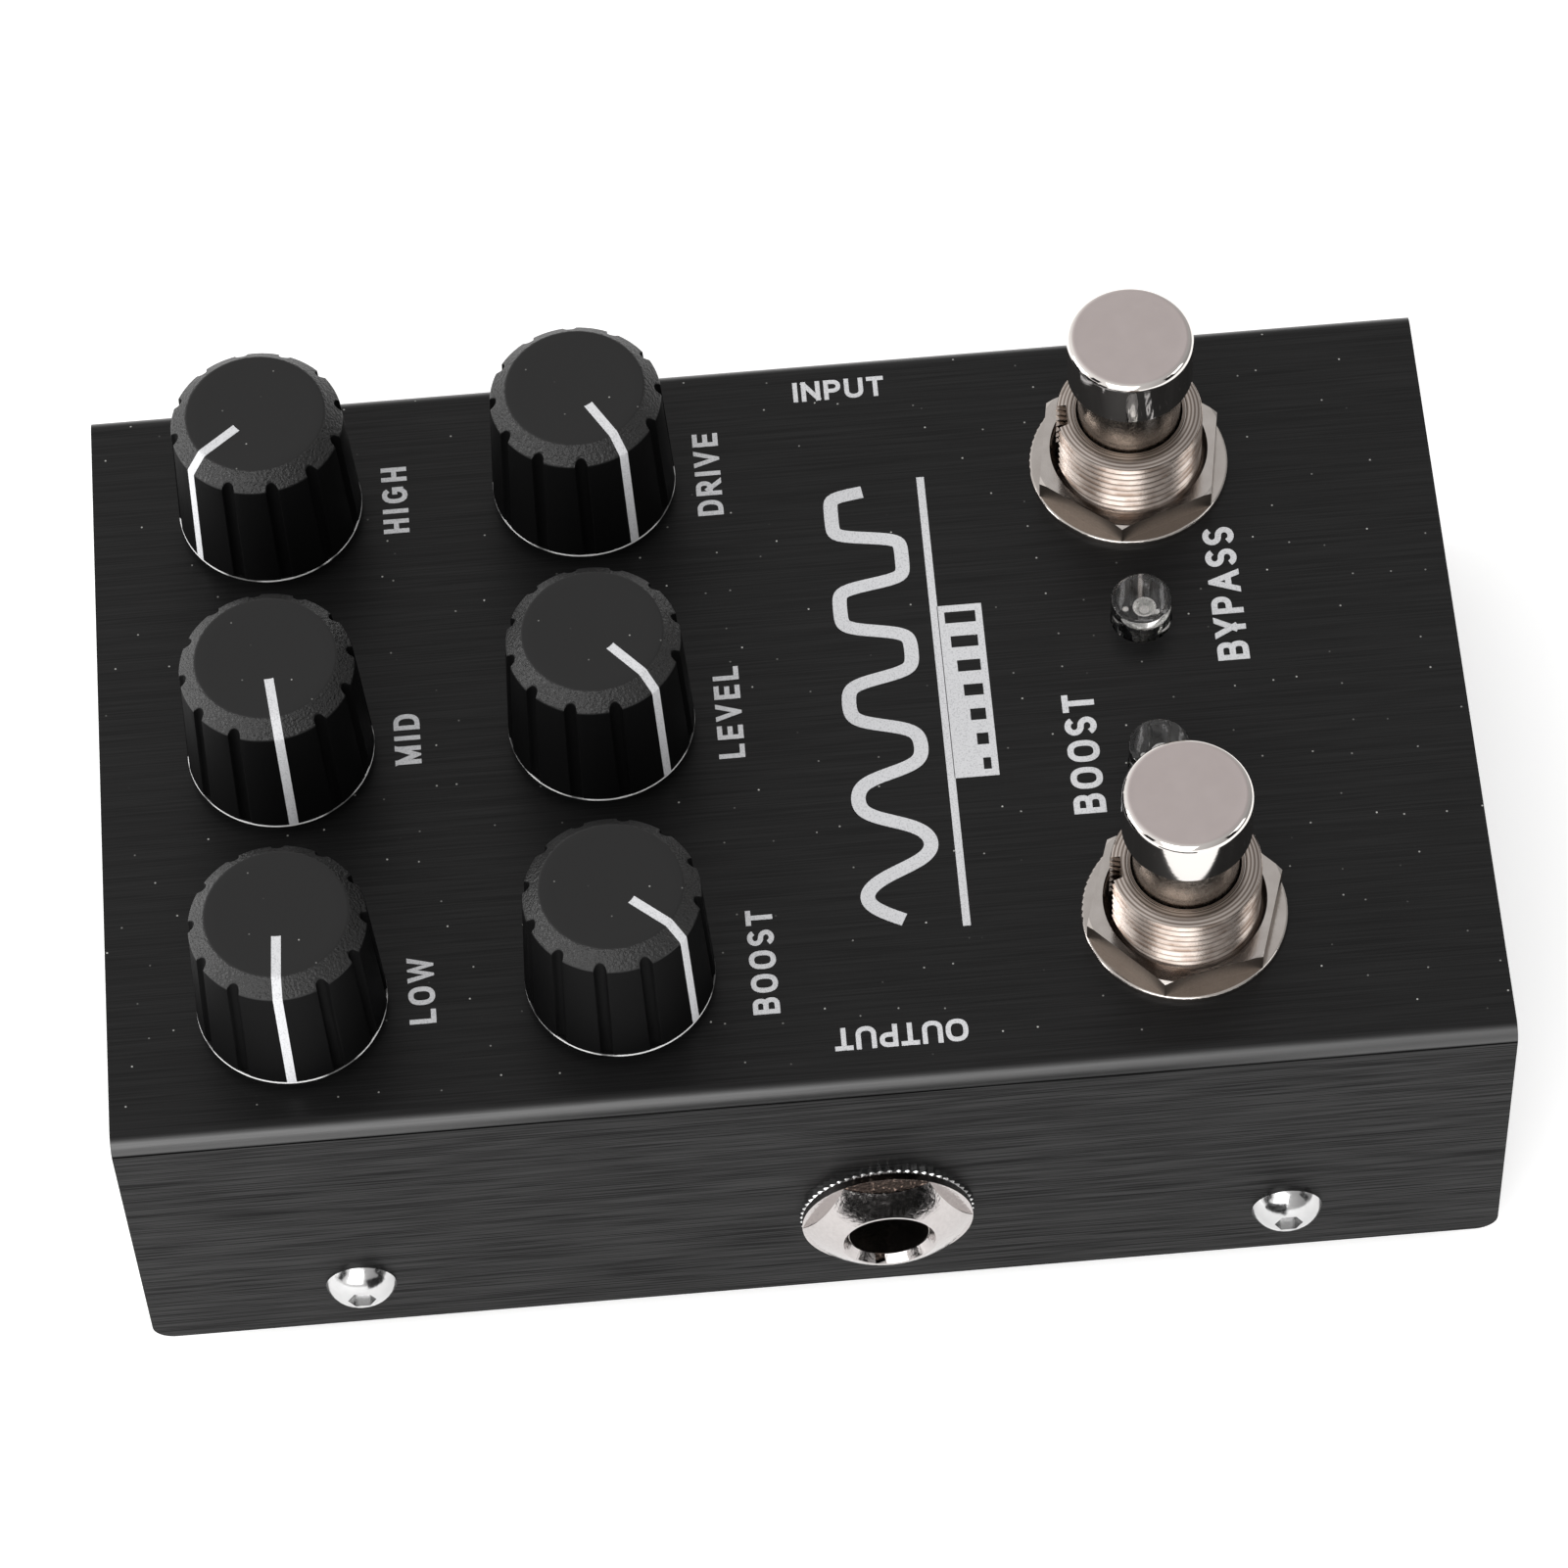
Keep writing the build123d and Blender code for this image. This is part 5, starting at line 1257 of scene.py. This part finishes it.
def build_level_box():
    """White box with seven black bars that grow to the right, in place of a boxed word."""
    pitch = (BOX_RIGHT - BOX_LEFT) / BARS
    tallest = BOX_HIGH - BOX_LOW - 2 * BAR_MARGIN
    white = []
    for index in range(BARS):
        start = BOX_LEFT + index * pitch
        left, right = start + (pitch - BAR_WIDTH) / 2, start + (pitch + BAR_WIDTH) / 2
        height = tallest * (SHORTEST_BAR + (1 - SHORTEST_BAR) * index / (BARS - 1))
        white.append((start, BOX_LOW, left, BOX_HIGH))
        white.append((right, BOX_LOW, start + pitch, BOX_HIGH))
        white.append((left, BOX_LOW, right, BOX_LOW + BAR_MARGIN))
        white.append((left, BOX_LOW + BAR_MARGIN + height, right, BOX_HIGH))
    bm = bmesh.new()
    for x0, y0, x1, y1 in white:
        ring = ((x0, y0), (x1, y0), (x1, y1), (x0, y1))
        bm.faces.new([bm.verts.new((x, y, PRINT_HEIGHT)) for x, y in ring])
    bmesh.ops.remove_doubles(bm, verts=bm.verts, dist=0.001)
    thicken(bm, PRINT_HEIGHT)
    piece("print_level_box", bm, PRINT_WHITE, "case", (), None, standing(0, 0, PANEL))


build_level_box()
build_line("print_rule", [(-21.0, -13.05), (22.0, -13.05)], RULE_WIDTH)
build_line("print_wave", clipped_wave(), WAVE_WIDTH)


# ---------------------------------------------------------------- floor

FLOOR_HALF = 2500.0


def build_floor():
    """Flat floor under the pedal."""
    bm = bmesh.new()
    bmesh.ops.create_grid(bm, x_segments=8, y_segments=8, size=FLOOR_HALF)
    bmesh.ops.scale(bm, vec=(MM, MM, MM), verts=bm.verts)
    mesh = bpy.data.meshes.new("floor")
    bm.to_mesh(mesh)
    bm.free()
    mesh.materials.append(floor_pale())
    floor = bpy.data.objects.new("floor", mesh)
    bpy.context.scene.collection.objects.link(floor)


build_floor()


def black_card(name, place, width, height):
    """Upright black card, seen only where bright metal reflects it."""
    bm = bmesh.new()
    bmesh.ops.create_grid(bm, x_segments=6, y_segments=6, size=0.5)
    bmesh.ops.scale(bm, vec=(width, height, 1.0), verts=bm.verts)
    mesh = bpy.data.meshes.new(name)
    bm.to_mesh(mesh)
    bm.free()
    mesh.materials.append(CARD_BLACK)
    card = bpy.data.objects.new(name, mesh)
    middle = Vector(place) + Vector((0, 0, height / 2))
    facing_pedal = Vector((-place[0], -place[1], 0)).to_track_quat("Z", "Y")
    card.matrix_world = Matrix.Translation(middle) @ facing_pedal.to_matrix().to_4x4()
    card.visible_camera = False
    card.visible_diffuse = False
    card.visible_shadow = False
    bpy.context.scene.collection.objects.link(card)


black_card("card_near", (-0.075, -0.005, 0.001), 0.064, 0.028)
black_card("card_left", (-0.45, 0.78, 0.12), 0.26, 0.60)
black_card("card_right", (-0.45, -0.78, 0.12), 0.26, 0.60)
